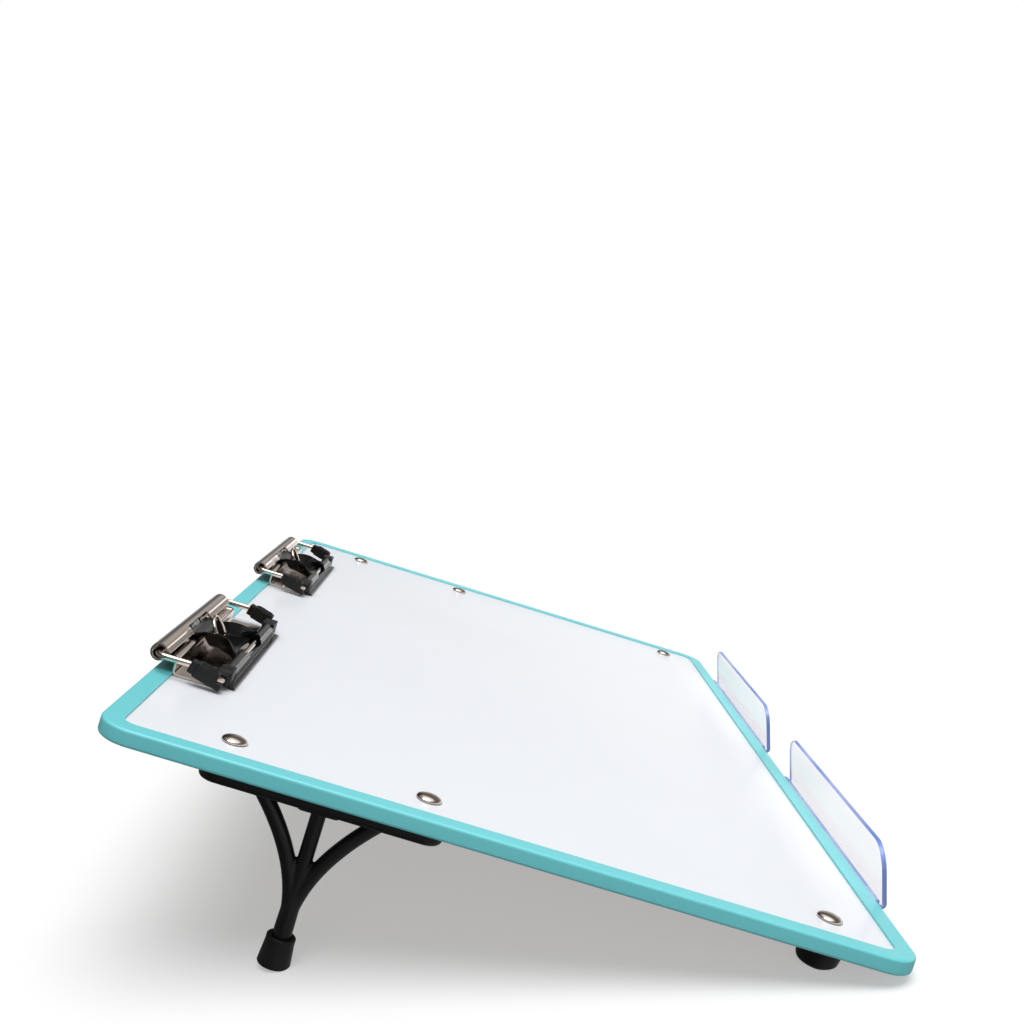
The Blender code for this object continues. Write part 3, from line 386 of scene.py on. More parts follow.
class Wire:
    """A round bar drawn from an end face: straight runs are pulled, bends are spun."""

    def __init__(self, name, start, heading, radius, sides):
        clear_selection()
        self.place, self.heading = Vector(start), Vector(heading).normalized()
        turn = self.heading.to_track_quat('Z', 'Y').to_euler()
        bpy.ops.mesh.primitive_circle_add(vertices=sides, radius=radius, fill_type='NGON',
                                          location=self.place, rotation=turn)
        self.piece = start_piece(name)

    def run(self, length):
        """Draws the wire straight on."""
        pull(self.heading * length)
        self.place = self.place + self.heading * length

    def bend(self, axis, radius, angle, steps):
        """Bends the wire about an axis beside its end."""
        axis = Vector(axis).normalized()
        centre = self.place + axis.cross(self.heading) * radius
        bpy.ops.mesh.spin(steps=steps, angle=SPIN_SENSE * angle, center=centre, axis=axis)
        turn = Matrix.Rotation(angle, 3, axis)
        self.place = centre + turn @ (self.place - centre)
        self.heading = turn @ self.heading

    def done(self):
        """Closes the bar's open end and leaves it as a solid."""
        bpy.ops.mesh.select_all(action='SELECT')
        bpy.ops.mesh.fill_holes(sides=0)
        return close_shell(self.piece)

    def looped(self):
        """Joins a wire that ends where it began, without the end faces inside it."""
        loop = self.done()
        take_away(loop, end_face)
        face_outwards(loop)
        polish(loop, 50.0)
        return loop


# Setting pieces on the board

def clip_spot(reach, height, x=0.0):
    """A point of a clip in the board's frame, from its reach and its height above the white face."""
    return Vector((x, BOARD_DEPTH - reach, FACE_TOP + height))


def dress(piece, finish):
    """Gives a piece one finish in place of any it had."""
    piece.data.materials.clear()
    piece.data.materials.append(finish)


def copy_of(piece, name):
    """A copy of a piece, with a mesh of its own."""
    made = piece.copy()
    made.data = piece.data.copy()
    bpy.context.scene.collection.objects.link(made)
    made.name = name
    made.data.name = name
    return made


def set_on_board(piece, finish, body, nodes, name, offset, mirror=False):
    """Puts a copy of a modelled shape on the tilted board, dressed, and lets it ride on its body."""
    made = copy_of(piece, name)
    if mirror:
        made.data.transform(Matrix.Scale(-1, 4, (1, 0, 0)))
        made.data.flip_normals()
    made.matrix_world = ON_BOARD @ Matrix.Translation(Vector(offset))
    pick(made)
    bpy.ops.object.transform_apply(location=True, rotation=True, scale=True)
    if finish is not None:
        dress(made, finish)
    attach(made, body)
    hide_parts(*nodes)


def set_pair(piece, finish, body, nodes, name, offset, distance=0.0):
    """Sets a shape on the left and on the right of the board and puts the shape itself away. In the names, {}
    stands for the side."""
    for side_name, side in SIDES:
        set_on_board(piece, finish, body.format(side_name), [node.format(side_name) for node in nodes],
                     name.format(side_name), (side * offset, distance, 0))
    put_away(piece)


def put_away(piece):
    """Removes a working shape that is no longer needed."""
    bpy.data.objects.remove(piece)


# Effects that several finishes share

def new_group(name, inputs, outputs):
    """An empty effect with named inputs and outputs."""
    group = bpy.data.node_groups.new(name, 'ShaderNodeTree')
    for label, kind, value in inputs:
        socket = group.interface.new_socket(name=label, in_out='INPUT', socket_type=kind)
        if value is not None:
            socket.default_value = value
    for label, kind in outputs:
        group.interface.new_socket(name=label, in_out='OUTPUT', socket_type=kind)
    return group, group.nodes.new('NodeGroupInput'), group.nodes.new('NodeGroupOutput')


def uneven_gloss():
    """Roughness that drifts over a surface, as handling leaves it."""
    group, given, made = new_group("uneven_gloss", [
        ("Place", 'NodeSocketVector', None), ("Patch Scale", 'NodeSocketFloat', 30.0),
        ("Least", 'NodeSocketFloat', 0.2), ("Most", 'NodeSocketFloat', 0.4)],
        [("Roughness", 'NodeSocketFloat')])
    noise = group.nodes.new('ShaderNodeTexNoise')
    noise.inputs["Detail"].default_value = 5.0
    noise.inputs["Roughness"].default_value = 0.62
    span = group.nodes.new('ShaderNodeMapRange')
    span.inputs["From Min"].default_value = 0.32
    span.inputs["From Max"].default_value = 0.68
    group.links.new(given.outputs["Place"], noise.inputs["Vector"])
    group.links.new(given.outputs["Patch Scale"], noise.inputs["Scale"])
    group.links.new(noise.outputs["Fac"], span.inputs["Value"])
    group.links.new(given.outputs["Least"], span.inputs["To Min"])
    group.links.new(given.outputs["Most"], span.inputs["To Max"])
    group.links.new(span.outputs["Result"], made.inputs["Roughness"])
    return group


def fine_grain():
    """Height of a fine moulded or sprayed grain."""
    group, given, made = new_group("fine_grain", [
        ("Place", 'NodeSocketVector', None), ("Grain Scale", 'NodeSocketFloat', 2500.0),
        ("Softness", 'NodeSocketFloat', 0.5)],
        [("Height", 'NodeSocketFloat')])
    coarse = group.nodes.new('ShaderNodeTexNoise')
    coarse.inputs["Detail"].default_value = 3.0
    cells = group.nodes.new('ShaderNodeTexVoronoi')
    cells.feature = 'SMOOTH_F1'
    mix = group.nodes.new('ShaderNodeMix')
    group.links.new(given.outputs["Place"], coarse.inputs["Vector"])
    group.links.new(given.outputs["Place"], cells.inputs["Vector"])
    group.links.new(given.outputs["Grain Scale"], coarse.inputs["Scale"])
    group.links.new(given.outputs["Grain Scale"], cells.inputs["Scale"])
    group.links.new(given.outputs["Softness"], mix.inputs["Factor"])
    group.links.new(cells.outputs["Distance"], mix.inputs["A"])
    group.links.new(coarse.outputs["Fac"], mix.inputs["B"])
    group.links.new(mix.outputs["Result"], made.inputs["Height"])
    return group


def tone_drift():
    """A colour that drifts between two near tones."""
    group, given, made = new_group("tone_drift", [
        ("Place", 'NodeSocketVector', None), ("Drift Scale", 'NodeSocketFloat', 8.0),
        ("First Tone", 'NodeSocketColor', (0.5, 0.5, 0.5, 1.0)),
        ("Second Tone", 'NodeSocketColor', (0.5, 0.5, 0.5, 1.0))],
        [("Colour", 'NodeSocketColor')])
    noise = group.nodes.new('ShaderNodeTexNoise')
    noise.inputs["Detail"].default_value = 4.0
    span = group.nodes.new('ShaderNodeMapRange')
    span.inputs["From Min"].default_value = 0.35
    span.inputs["From Max"].default_value = 0.65
    mix = group.nodes.new('ShaderNodeMix')
    mix.data_type = 'RGBA'
    group.links.new(given.outputs["Place"], noise.inputs["Vector"])
    group.links.new(given.outputs["Drift Scale"], noise.inputs["Scale"])
    group.links.new(noise.outputs["Fac"], span.inputs["Value"])
    group.links.new(span.outputs["Result"], mix.inputs["Factor"])
    group.links.new(given.outputs["First Tone"], mix.inputs["A"])
    group.links.new(given.outputs["Second Tone"], mix.inputs["B"])
    group.links.new(mix.outputs["Result"], made.inputs["Colour"])
    return group


UNEVEN_GLOSS = uneven_gloss()
FINE_GRAIN = fine_grain()
TONE_DRIFT = tone_drift()


class Finish:
    """A material whose shader is fed by the shared effects, on Object coordinates."""

    def __init__(self, name, stretch=(1, 1, 1), **values):
        self.material = bpy.data.materials.new(name)
        self.material.use_nodes = True
        self.tree = self.material.node_tree
        self.shader = self.tree.nodes["Principled BSDF"]
        place = self.tree.nodes.new('ShaderNodeTexCoord')
        mapping = self.tree.nodes.new('ShaderNodeMapping')
        mapping.inputs["Scale"].default_value = stretch
        self.tree.links.new(place.outputs["Object"], mapping.inputs["Vector"])
        self.place = mapping.outputs["Vector"]
        for label, value in values.items():
            self.shader.inputs[label.replace("_", " ")].default_value = value

    def effect(self, group, **values):
        """Places a shared effect in the material with its own values."""
        node = self.tree.nodes.new('ShaderNodeGroup')
        node.node_tree = group
        self.tree.links.new(self.place, node.inputs["Place"])
        for label, value in values.items():
            node.inputs[label.replace("_", " ")].default_value = value
        return node

    def tones(self, scale, first, second):
        """Lets the colour drift between two tones."""
        node = self.effect(TONE_DRIFT, Drift_Scale=scale, First_Tone=(*first, 1.0),
                           Second_Tone=(*second, 1.0))
        self.tree.links.new(node.outputs["Colour"], self.shader.inputs["Base Color"])

    def gloss(self, scale, least, most):
        """Lets the roughness drift between two values."""
        node = self.effect(UNEVEN_GLOSS, Patch_Scale=scale, Least=least, Most=most)
        self.tree.links.new(node.outputs["Roughness"], self.shader.inputs["Roughness"])

    def grain(self, scale, softness, strength, distance):
        """Gives the surface a fine grain."""
        node = self.effect(FINE_GRAIN, Grain_Scale=scale, Softness=softness)
        bump = self.tree.nodes.new('ShaderNodeBump')
        bump.inputs["Strength"].default_value = strength
        bump.inputs["Distance"].default_value = distance
        self.tree.links.new(node.outputs["Height"], bump.inputs["Height"])
        self.tree.links.new(bump.outputs["Normal"], self.shader.inputs["Normal"])


# Finishes

def white_gloss():
    finish = Finish("white_face", Specular_IOR_Level=0.4)
    finish.tones(5.0, (0.825, 0.848, 0.89), (0.835, 0.858, 0.90))
    finish.gloss(5.0, 0.24, 0.27)
    return finish.material


def teal_plastic():
    finish = Finish("teal_trim")
    finish.tones(12.0, (0.16, 0.63, 0.67), (0.17, 0.655, 0.695))
    finish.gloss(30.0, 0.32, 0.38)
    finish.grain(1400.0, 0.8, 0.03, 0.03 * MM)
    return finish.material


def pressed_board():
    finish = Finish("core_board", stretch=(1, 1, 3))
    finish.tones(180.0, (0.24, 0.165, 0.095), (0.36, 0.26, 0.16))
    finish.gloss(200.0, 0.7, 0.9)
    finish.grain(900.0, 0.8, 0.5, 0.2 * MM)
    return finish.material


def powder_coat():
    finish = Finish("leg_coat", Specular_IOR_Level=0.35)
    finish.tones(60.0, (0.004, 0.004, 0.004), (0.007, 0.007, 0.007))
    finish.gloss(90.0, 0.3, 0.4)
    finish.grain(1600.0, 0.5, 0.08, 0.04 * MM)
    return finish.material


def moulded_rubber():
    finish = Finish("black_rubber", Specular_IOR_Level=0.3)
    finish.tones(90.0, (0.004, 0.004, 0.004), (0.008, 0.008, 0.008))
    finish.gloss(120.0, 0.38, 0.5)
    finish.grain(2600.0, 0.6, 0.08, 0.03 * MM)
    return finish.material


def plated_nickel():
    finish = Finish("nickel_plate", stretch=(0.12, 1, 1), Metallic=1.0)
    finish.tones(90.0, (0.68, 0.575, 0.50), (0.74, 0.635, 0.56))
    finish.gloss(260.0, 0.09, 0.13)
    return finish.material


def black_pressing():
    finish = Finish("black_steel", Specular_IOR_Level=0.25, Coat_Weight=0.12, Coat_Roughness=0.05)
    finish.tones(80.0, (0.003, 0.003, 0.003), (0.006, 0.0055, 0.005))
    finish.gloss(150.0, 0.16, 0.22)
    return finish.material


def drawn_steel():
    finish = Finish("spring_steel", Metallic=1.0)
    finish.tones(400.0, (0.48, 0.46, 0.43), (0.62, 0.60, 0.57))
    finish.gloss(500.0, 0.18, 0.32)
    return finish.material


def clear_sheet():
    finish = Finish("clear_acrylic", Transmission_Weight=1.0, IOR=1.06, Specular_IOR_Level=0.2)
    finish.tones(20.0, (0.86, 0.85, 0.87), (0.88, 0.87, 0.885))
    finish.gloss(40.0, 0.01, 0.03)
    return finish.material


def clear_cut_edge():
    finish = Finish("clear_acrylic_edge", Transmission_Weight=0.3, IOR=1.49)
    finish.tones(25.0, (0.13, 0.25, 0.76), (0.42, 0.52, 0.93))
    finish.gloss(60.0, 0.1, 0.22)
    return finish.material


def mounting_tape():
    finish = Finish("clear_tape", Transmission_Weight=0.8, IOR=1.45)
    finish.tones(200.0, (0.86, 0.9, 0.93), (0.92, 0.95, 0.97))
    finish.gloss(300.0, 0.25, 0.45)
    return finish.material


WHITE = white_gloss()
TEAL = teal_plastic()
CORE = pressed_board()
COAT = powder_coat()
RUBBER = moulded_rubber()
NICKEL = plated_nickel()
BLACK = black_pressing()
STEEL = drawn_steel()
CLEAR = clear_sheet()
CLEAR_EDGE = clear_cut_edge()
TAPE = mounting_tape()


# Board

def make_edge_trim():
    """The trim: a block with rounded corners, its broad faces inset and opened, then given a wall."""
    soft = 0.35 * MM
    clear_selection()
    bpy.ops.mesh.primitive_cube_add(size=1, location=(0, BOARD_DEPTH / 2, BOARD_THICKNESS / 2))
    trim = start_piece("trim", (BOARD_WIDTH, BOARD_DEPTH, BOARD_THICKNESS))
    choose(trim, 'EDGE', upright(BOARD_THICKNESS / 2))
    round_off(CORNER_RADIUS, 18)

    def broad(face):
        return abs(face.normal.z) > 0.999 and face.calc_area() > BOARD_WIDTH * BOARD_DEPTH / 2

    choose(trim, 'FACE', broad)
    bpy.ops.mesh.region_to_loop()
    round_off(TRIM_EDGE_RADIUS, 4)
    choose(trim, 'FACE', broad)
    bpy.ops.mesh.inset(thickness=LIP_WIDTH - TRIM_EDGE_RADIUS, depth=0)
    bpy.ops.mesh.delete(type='FACE')
    close_shell(trim)
    apply_modifier(trim, 'SOLIDIFY', thickness=LIP_THICKNESS, offset=-1.0, use_even_offset=True)
    soften(trim, soft, 3, 50.0)
    polish(trim, 30.0)
    set_on_board(trim, TEAL, "board_and_legs", ["edge_trim"], "edge_trim_strip", (0, 0, 0))
    put_away(trim)


def make_screws():
    """Domed screws: a low flange with a dome on it, and the shank under it."""
    shank_depth, under_head, rim, soft = 6.0 * MM, 5.5 * MM, 0.35 * MM, 0.12 * MM
    seat = FACE_TOP + GAP
    depth = seat - SEAT + shank_depth
    profile = [(SCREW_SHANK_RADIUS, -depth), (SCREW_SHANK_RADIUS, 0.0), (under_head, 0.0)]
    profile += dome(SCREW_HEAD_RADIUS, SCREW_HEAD_HEIGHT, rim, 10)
    screw = raise_rings("screw", Vector((0, 0, seat)), profile, 32)
    soften(screw, soft, 2, 50.0)
    polish(screw, 45.0)
    for side_name, side in SIDES:
        for node, distance in (("leg_{}_screw_rear", LEG_DISTANCE + SCREW_SPACING / 2),
                               ("leg_{}_screw_front", LEG_DISTANCE - SCREW_SPACING / 2),
                               ("front_foot_{}_screw", FOOT_DISTANCE)):
            node = node.format(side_name)
            set_on_board(screw, NICKEL, "board_and_legs", [node], node + "_dome",
                         (side * SCREW_OFFSET, distance, 0))
    put_away(screw)


# Legs and feet, modelled about their own axis, down from the underside of the board

def floor_level(distance):
    """Level of the floor, in the board's frame, at a distance from the bottom edge."""
    return -FOOT_STAND - (distance - FOOT_DISTANCE) * math.tan(BOARD_TILT)


CAP_LOW = floor_level(LEG_DISTANCE) + CAP_RADIUS * math.tan(BOARD_TILT) - CAP_CUT


def make_leg_plates():
    """The plate: a bar with round ends and softened rims, and a low pad under its middle."""
    rim, soft = 2.5 * MM, 0.35 * MM
    pad_inset, pad_sink, pad_corner = 5.6 * MM, 0.2 * MM, 2.0 * MM
    clear_selection()
    bpy.ops.mesh.primitive_cube_add(size=1, location=(0, 0, SEAT - PLATE_THICKNESS / 2))
    bar = start_piece("leg_bar", (PLATE_WIDTH, PLATE_LENGTH, PLATE_THICKNESS))
    choose(bar, 'EDGE', upright(PLATE_THICKNESS / 2))
    round_off(PLATE_WIDTH * PLATE_END_SHARE, 14)
    choose(bar, 'FACE', lambda face: face.normal.z < -0.9)
    bpy.ops.mesh.region_to_loop()
    round_off(rim, 5)
    close_shell(bar)
    clear_selection()
    bpy.ops.mesh.primitive_cube_add(size=1, location=(0, 0, SEAT - PLATE_THICKNESS - pad_sink))
    pad = start_piece("leg_pad", (PLATE_WIDTH - pad_inset, PAD_LENGTH, PAD_THICKNESS))
    choose(pad, 'EDGE', upright(PAD_THICKNESS / 2))
    round_off(pad_corner, 3)
    close_shell(pad)
    plate = join_pieces("leg_plate", [bar, pad])
    soften(plate, soft, 2, 40.0)
    polish(plate, 35.0)
    set_pair(plate, COAT, "board_and_legs", ["leg_{}_plate"], "leg_{}_plate_bar",
             SCREW_OFFSET, LEG_DISTANCE)


def make_brace(side, merge, under_plate):
    """A curved brace: short arcs along a parabola, from low in the post up to the plate."""
    low, overrun, steps = 3.0 * MM, 1.5 * MM, 12

    def point(rise):
        return Vector((0, side * BRACE_SPREAD * (rise / BRACE_DROP) ** 2, merge + rise))

    def slope(rise):
        return 2 * BRACE_SPREAD * rise / BRACE_DROP ** 2

    brace = Wire("brace", point(low), (0, side * slope(low), 1), BRACE_RADIUS, 24)
    rise = low
    step_rise = (BRACE_DROP + overrun - low) / steps
    for _ in range(steps):
        turn = math.atan(slope(rise + step_rise)) - math.atan(slope(rise))
        rise += step_rise
        chord = point(rise) - brace.place
        brace.bend((-side, 0, 0), chord.length / (2 * math.sin(turn / 2)), turn, 2)
    return cut_flat(brace.done(), (0, 0, under_plate - GAP), (0, 0, 1), clear_outer=True)


def make_leg_frames():
    """The welded frame of a leg: a swelling post and two curved braces, grown together as one skin."""
    in_cap, in_plate, skin_cell = 4.3 * MM, 1.0 * MM, 0.55 * MM
    under_plate = SEAT - PLATE_THICKNESS
    merge = under_plate - BRACE_DROP
    profile = [(POST[0][0], CAP_LOW + in_cap)]
    profile += [(radius, merge + rise) for radius, rise in POST]
    profile.append((POST[-1][0], under_plate - in_plate - GAP))
    post = raise_rings("post", Vector((0, 0, 0)), profile, 28)
    leg = join_pieces("leg_frame", [post] + [make_brace(side, merge, under_plate) for side in (1, -1)])
    apply_modifier(leg, 'REMESH', mode='VOXEL', voxel_size=skin_cell)
    apply_modifier(leg, 'SMOOTH', factor=0.5, iterations=8)
    polish(leg, 60.0)
    set_pair(leg, COAT, "board_and_legs",
             ["leg_{}_post", "leg_{}_rear_brace", "leg_{}_front_brace"], "leg_{}_frame",
             SCREW_OFFSET, LEG_DISTANCE)


def cut_at_floor(piece, distance):
    """Cuts a rubber piece flat where it stands on the floor."""
    cut_flat(piece, (0, 0, floor_level(distance)), (0, math.sin(BOARD_TILT), math.cos(BOARD_TILT)),
             clear_inner=True)


def make_leg_caps():
    """The rubber cap: a slightly flared cup with a rolled rim, worn flat where it stands."""
    soft = 0.25 * MM
    cap = raise_rings("cap", Vector((0, 0, 0)), [(radius, CAP_LOW + rise) for radius, rise in CAP], 40)
    cut_at_floor(cap, LEG_DISTANCE)
    soften(cap, soft, 2, 40.0)
    polish(cap, 40.0)
    set_pair(cap, RUBBER, "board_and_legs", ["leg_{}_cap"], "leg_{}_cap_cup",
             SCREW_OFFSET, LEG_DISTANCE)


def make_front_feet():
    """The front bumper: a thick rubber disc with a rounded base, flat where it stands."""
    rim, base, edge, hub, cut, soft = 0.4 * MM, 5.8 * MM, 3.6 * MM, 2.0 * MM, 0.6 * MM, 0.3 * MM
    low, steps = -FOOT_STAND - cut, 6
    profile = [(FOOT_RADIUS - rim, SEAT), (FOOT_RADIUS, SEAT - rim), (FOOT_RADIUS, low / 3)]
    for step in range(steps + 1):
        turn = step / steps * math.pi / 2
        profile.append((base + edge * math.cos(turn), low + edge - edge * math.sin(turn)))
    profile.append((hub, low))
    foot = raise_rings("foot", Vector((0, 0, 0)), profile, 44)
    cut_at_floor(foot, FOOT_DISTANCE)
    soften(foot, soft, 2, 40.0)
    polish(foot, 40.0)
    set_pair(foot, RUBBER, "board_and_legs", ["front_foot_{}"], "front_foot_{}_bumper",
             SCREW_OFFSET, FOOT_DISTANCE)


# Clips

def make_clip_bases():
    """The base: one plated sheet for foot, web, flange and rolled barrel, notched for the jaw."""
    foot = GAP + SHEET / 2
    bend, fillet, soft = 1.4 * MM, 0.8 * MM, 0.25 * MM
    drop = BARREL_HEIGHT - FLANGE_HEIGHT
    fillet_reach = math.sqrt((BARREL_RADIUS + fillet) ** 2 - (drop + fillet) ** 2)
    join = math.atan2(drop + fillet, fillet_reach)
    barrel_mouth = math.radians(40.0)
    tail_bend, tail = (2.0 * MM, math.radians(-15.0)), 2.4 * MM
    moves = [(bend, math.pi / 2), FLANGE_HEIGHT - foot - 2 * bend, (bend, -math.pi / 2),
             WEB_REACH - bend - BARREL_REACH - fillet_reach, (fillet, join - math.pi / 2),
             (BARREL_RADIUS, math.tau - join - barrel_mouth), tail_bend, tail]
    sheet = bent_sheet("clip_base", CLIP_WIDTH / 2, clip_spot(BASE_REACH, foot),
                       clip_spot(WEB_REACH + bend, foot), moves, (-NOTCH_HALF, NOTCH_HALF))
    axis = clip_spot(BARREL_REACH, BARREL_HEIGHT)

    def in_notch(face):
        place = face.calc_center_median()
        turn = math.degrees(math.atan2(place.z - axis.z, axis.y - place.y))
        return abs(place.x) < NOTCH_HALF and NOTCH_DEGREES[0] < turn < NOTCH_DEGREES[1]

    take_away(sheet, in_notch)
    give_thickness(sheet, SHEET, soft)
    set_pair(sheet, NICKEL, "board_and_legs", ["clip_{}_base"], "clip_{}_base_sheet",
             CLIP_OFFSET)


def cross_tube(name, reach, height, low_x, high_x, radius, bore, sides):
    """A round tube across a clip."""
    bar = Wire(name, clip_spot(reach, height, low_x), (1, 0, 0), radius, sides)
    bar.run(high_x - low_x)
    choose(bar.piece, 'FACE', end_face)
    bpy.ops.mesh.inset(thickness=radius - bore, depth=0)
    bpy.ops.mesh.bridge_edge_loops()
    return bar.done()


def make_neck():
    """The jaw's channel: a web that widens towards the front, and its side edges raised as rolled walls."""
    first_rise, corner, soft, least_run = 0.6 * MM, 0.6 * MM, 0.3 * MM, 0.1 * MM
    (reach, half, web, _, _), (next_reach, _, _, _, _) = NECK[:2]
    clear_selection()
    bpy.ops.mesh.primitive_plane_add(size=1, location=clip_spot((reach + next_reach) / 2, web))
    neck = start_piece("neck", (2 * half, next_reach - reach, 1))
    choose(neck, 'EDGE', along_end(clip_spot(next_reach, web)))
    for old, new in zip(NECK[1:], NECK[2:]):
        pull((0, old[0] - new[0], new[2] - old[2]))
        bpy.ops.transform.resize(value=(new[1] / old[1], 1, 1), center_override=clip_spot(new[0], new[2]))

    def runs_forward(edge):
        return abs(edge.verts[0].co.y - edge.verts[1].co.y) > least_run

    choose(neck, 'EDGE', lambda edge: edge.is_boundary and runs_forward(edge))
    pull((0, 0, first_rise))
    for reach, half, web, wall, flare in NECK:
        level = clip_spot(reach, web)
        choose(neck, 'VERT', lambda corner: abs(corner.co.y - level.y) < NEAR
               and corner.co.z > level.z + first_rise / 2)
        bpy.ops.transform.translate(value=(0, 0, wall - web - first_rise))
        bpy.ops.transform.resize(value=((half + flare) / half, 1, 1), center_override=level)
    choose(neck, 'EDGE', lambda edge: not edge.is_boundary and runs_forward(edge))
    round_off(corner, 2)
    close_shell(neck)
    apply_modifier(neck, 'SUBSURF', levels=2, render_levels=2, boundary_smooth='PRESERVE_CORNERS')
    give_thickness(neck, JAW_SHEET, soft)
    return neck


def make_lip():
    """The pressing lip: a wall that drops from the tubes and a flat that lies along the white face."""
    half_width, wall_top, flat_run, soft = 66.0 * MM, 5.4 * MM, 2.3 * MM, 0.2 * MM
    flat, bend = GAP + JAW_SHEET / 2, 0.8 * MM
    wall_reach, wall_end, clear_rise = 36.2 * MM, 54.6 * MM, 0.3 * MM
    lip = bent_sheet("lip", half_width, clip_spot(wall_reach, wall_top), clip_spot(wall_reach, flat + bend),
                     [(bend, -math.pi / 2), flat_run], (-wall_end, wall_end))

    def past_the_wall(face):
        place = face.calc_center_median()
        return abs(place.x) > wall_end and place.z > FACE_TOP + flat + clear_rise

    take_away(lip, past_the_wall)
    give_thickness(lip, JAW_SHEET, soft)
    return lip


def make_lens():
    """The cutter for the lens-shaped finger opening."""
    reach, low, half_width, half_depth, height = millimetres(32.5, -2.0, 23.5, 3.9, 20.0)
    clear_selection()
    bpy.ops.mesh.primitive_circle_add(vertices=48, radius=1, fill_type='NGON', location=clip_spot(reach, low))
    lens = start_piece("lens", (half_width, half_depth, 1))
    bpy.ops.mesh.select_all(action='SELECT')
    pull((0, 0, height))
    return close_shell(lens)


def make_jaws():
    """The jaw: channel, knuckles, two tubes round the front wire, pressing lip and ring lugs."""
    soft = 0.25 * MM
    shapes = [make_neck()]
    # The round parts: reach, height, inner end, outer end, radius, bore and sides
    for _, side in SIDES:
        for name, reach, height, inner, outer, radius, bore, sides in (
                ("tube", FRONT_REACH, FRONT_HEIGHT, 17.0 * MM, 54.9 * MM, 3.5 * MM, 2.0 * MM, 32),
                ("knuckle", BARREL_REACH, BARREL_HEIGHT, 5.9 * MM, 14.0 * MM, 2.9 * MM, 2.0 * MM, 28),
                ("lug", RING_REACH, RING_HEIGHT, 4.4 * MM, 5.6 * MM, 2.2 * MM, 1.2 * MM, 24)):
            ends = sorted((side * inner, side * outer))
            shapes.append(cross_tube(name, reach, height, *ends, radius, bore, sides))
    lens = make_lens()
    for shape in shapes[:1] + [shape for shape in shapes if shape.name.startswith("tube")]:
        apply_modifier(shape, 'BOOLEAN', operation='DIFFERENCE', object=lens, solver='EXACT')
    for shape in shapes[1:]:
        soften(shape, soft, 2, 50.0)
        polish(shape, 40.0)
    jaw = join_pieces("jaw", shapes + [make_lip()])
    polish(jaw, 40.0)
    set_pair(jaw, BLACK, "{}_jaw", ["clip_{}_jaw"], "clip_{}_jaw_pressing", CLIP_OFFSET)
    put_away(lens)


def make_bails():
    """The bail: one wire through the barrel, down both sides and along the front."""
    bend, quarter = WIRE_BEND, math.pi / 2
    slope_cut = bend * math.tan(WIRE_SLOPE / 2)
    side_run = DROP_REACH - BARREL_REACH - bend - slope_cut
    slope_run = math.hypot(FRONT_REACH - DROP_REACH, BARREL_HEIGHT - FRONT_HEIGHT) - slope_cut - bend
    down, inward = Vector((0, -math.cos(WIRE_SLOPE), -math.sin(WIRE_SLOPE))), Vector((-1, 0, 0))
    corner_axis = down.cross(inward)
    wire = Wire("bail_wire", clip_spot(BARREL_REACH, BARREL_HEIGHT), (1, 0, 0), WIRE_RADIUS, 20)
    wire.run(WIRE_OFFSET - bend)
    wire.bend((0, 0, -1), bend, quarter, 8)
    wire.run(side_run)
    wire.bend((1, 0, 0), bend, WIRE_SLOPE, 4)
    wire.run(slope_run)
    wire.bend(corner_axis, bend, quarter, 8)
    wire.run(2 * (WIRE_OFFSET - bend))
    wire.bend(corner_axis, bend, quarter, 8)
    wire.run(slope_run)
    wire.bend((-1, 0, 0), bend, WIRE_SLOPE, 4)
    wire.run(side_run)
    wire.bend((0, 0, -1), bend, quarter, 8)
    wire.run(WIRE_OFFSET - bend)
    set_pair(wire.looped(), NICKEL, "{}_jaw", ["clip_{}_bail"], "clip_{}_bail_wire",
             CLIP_OFFSET)


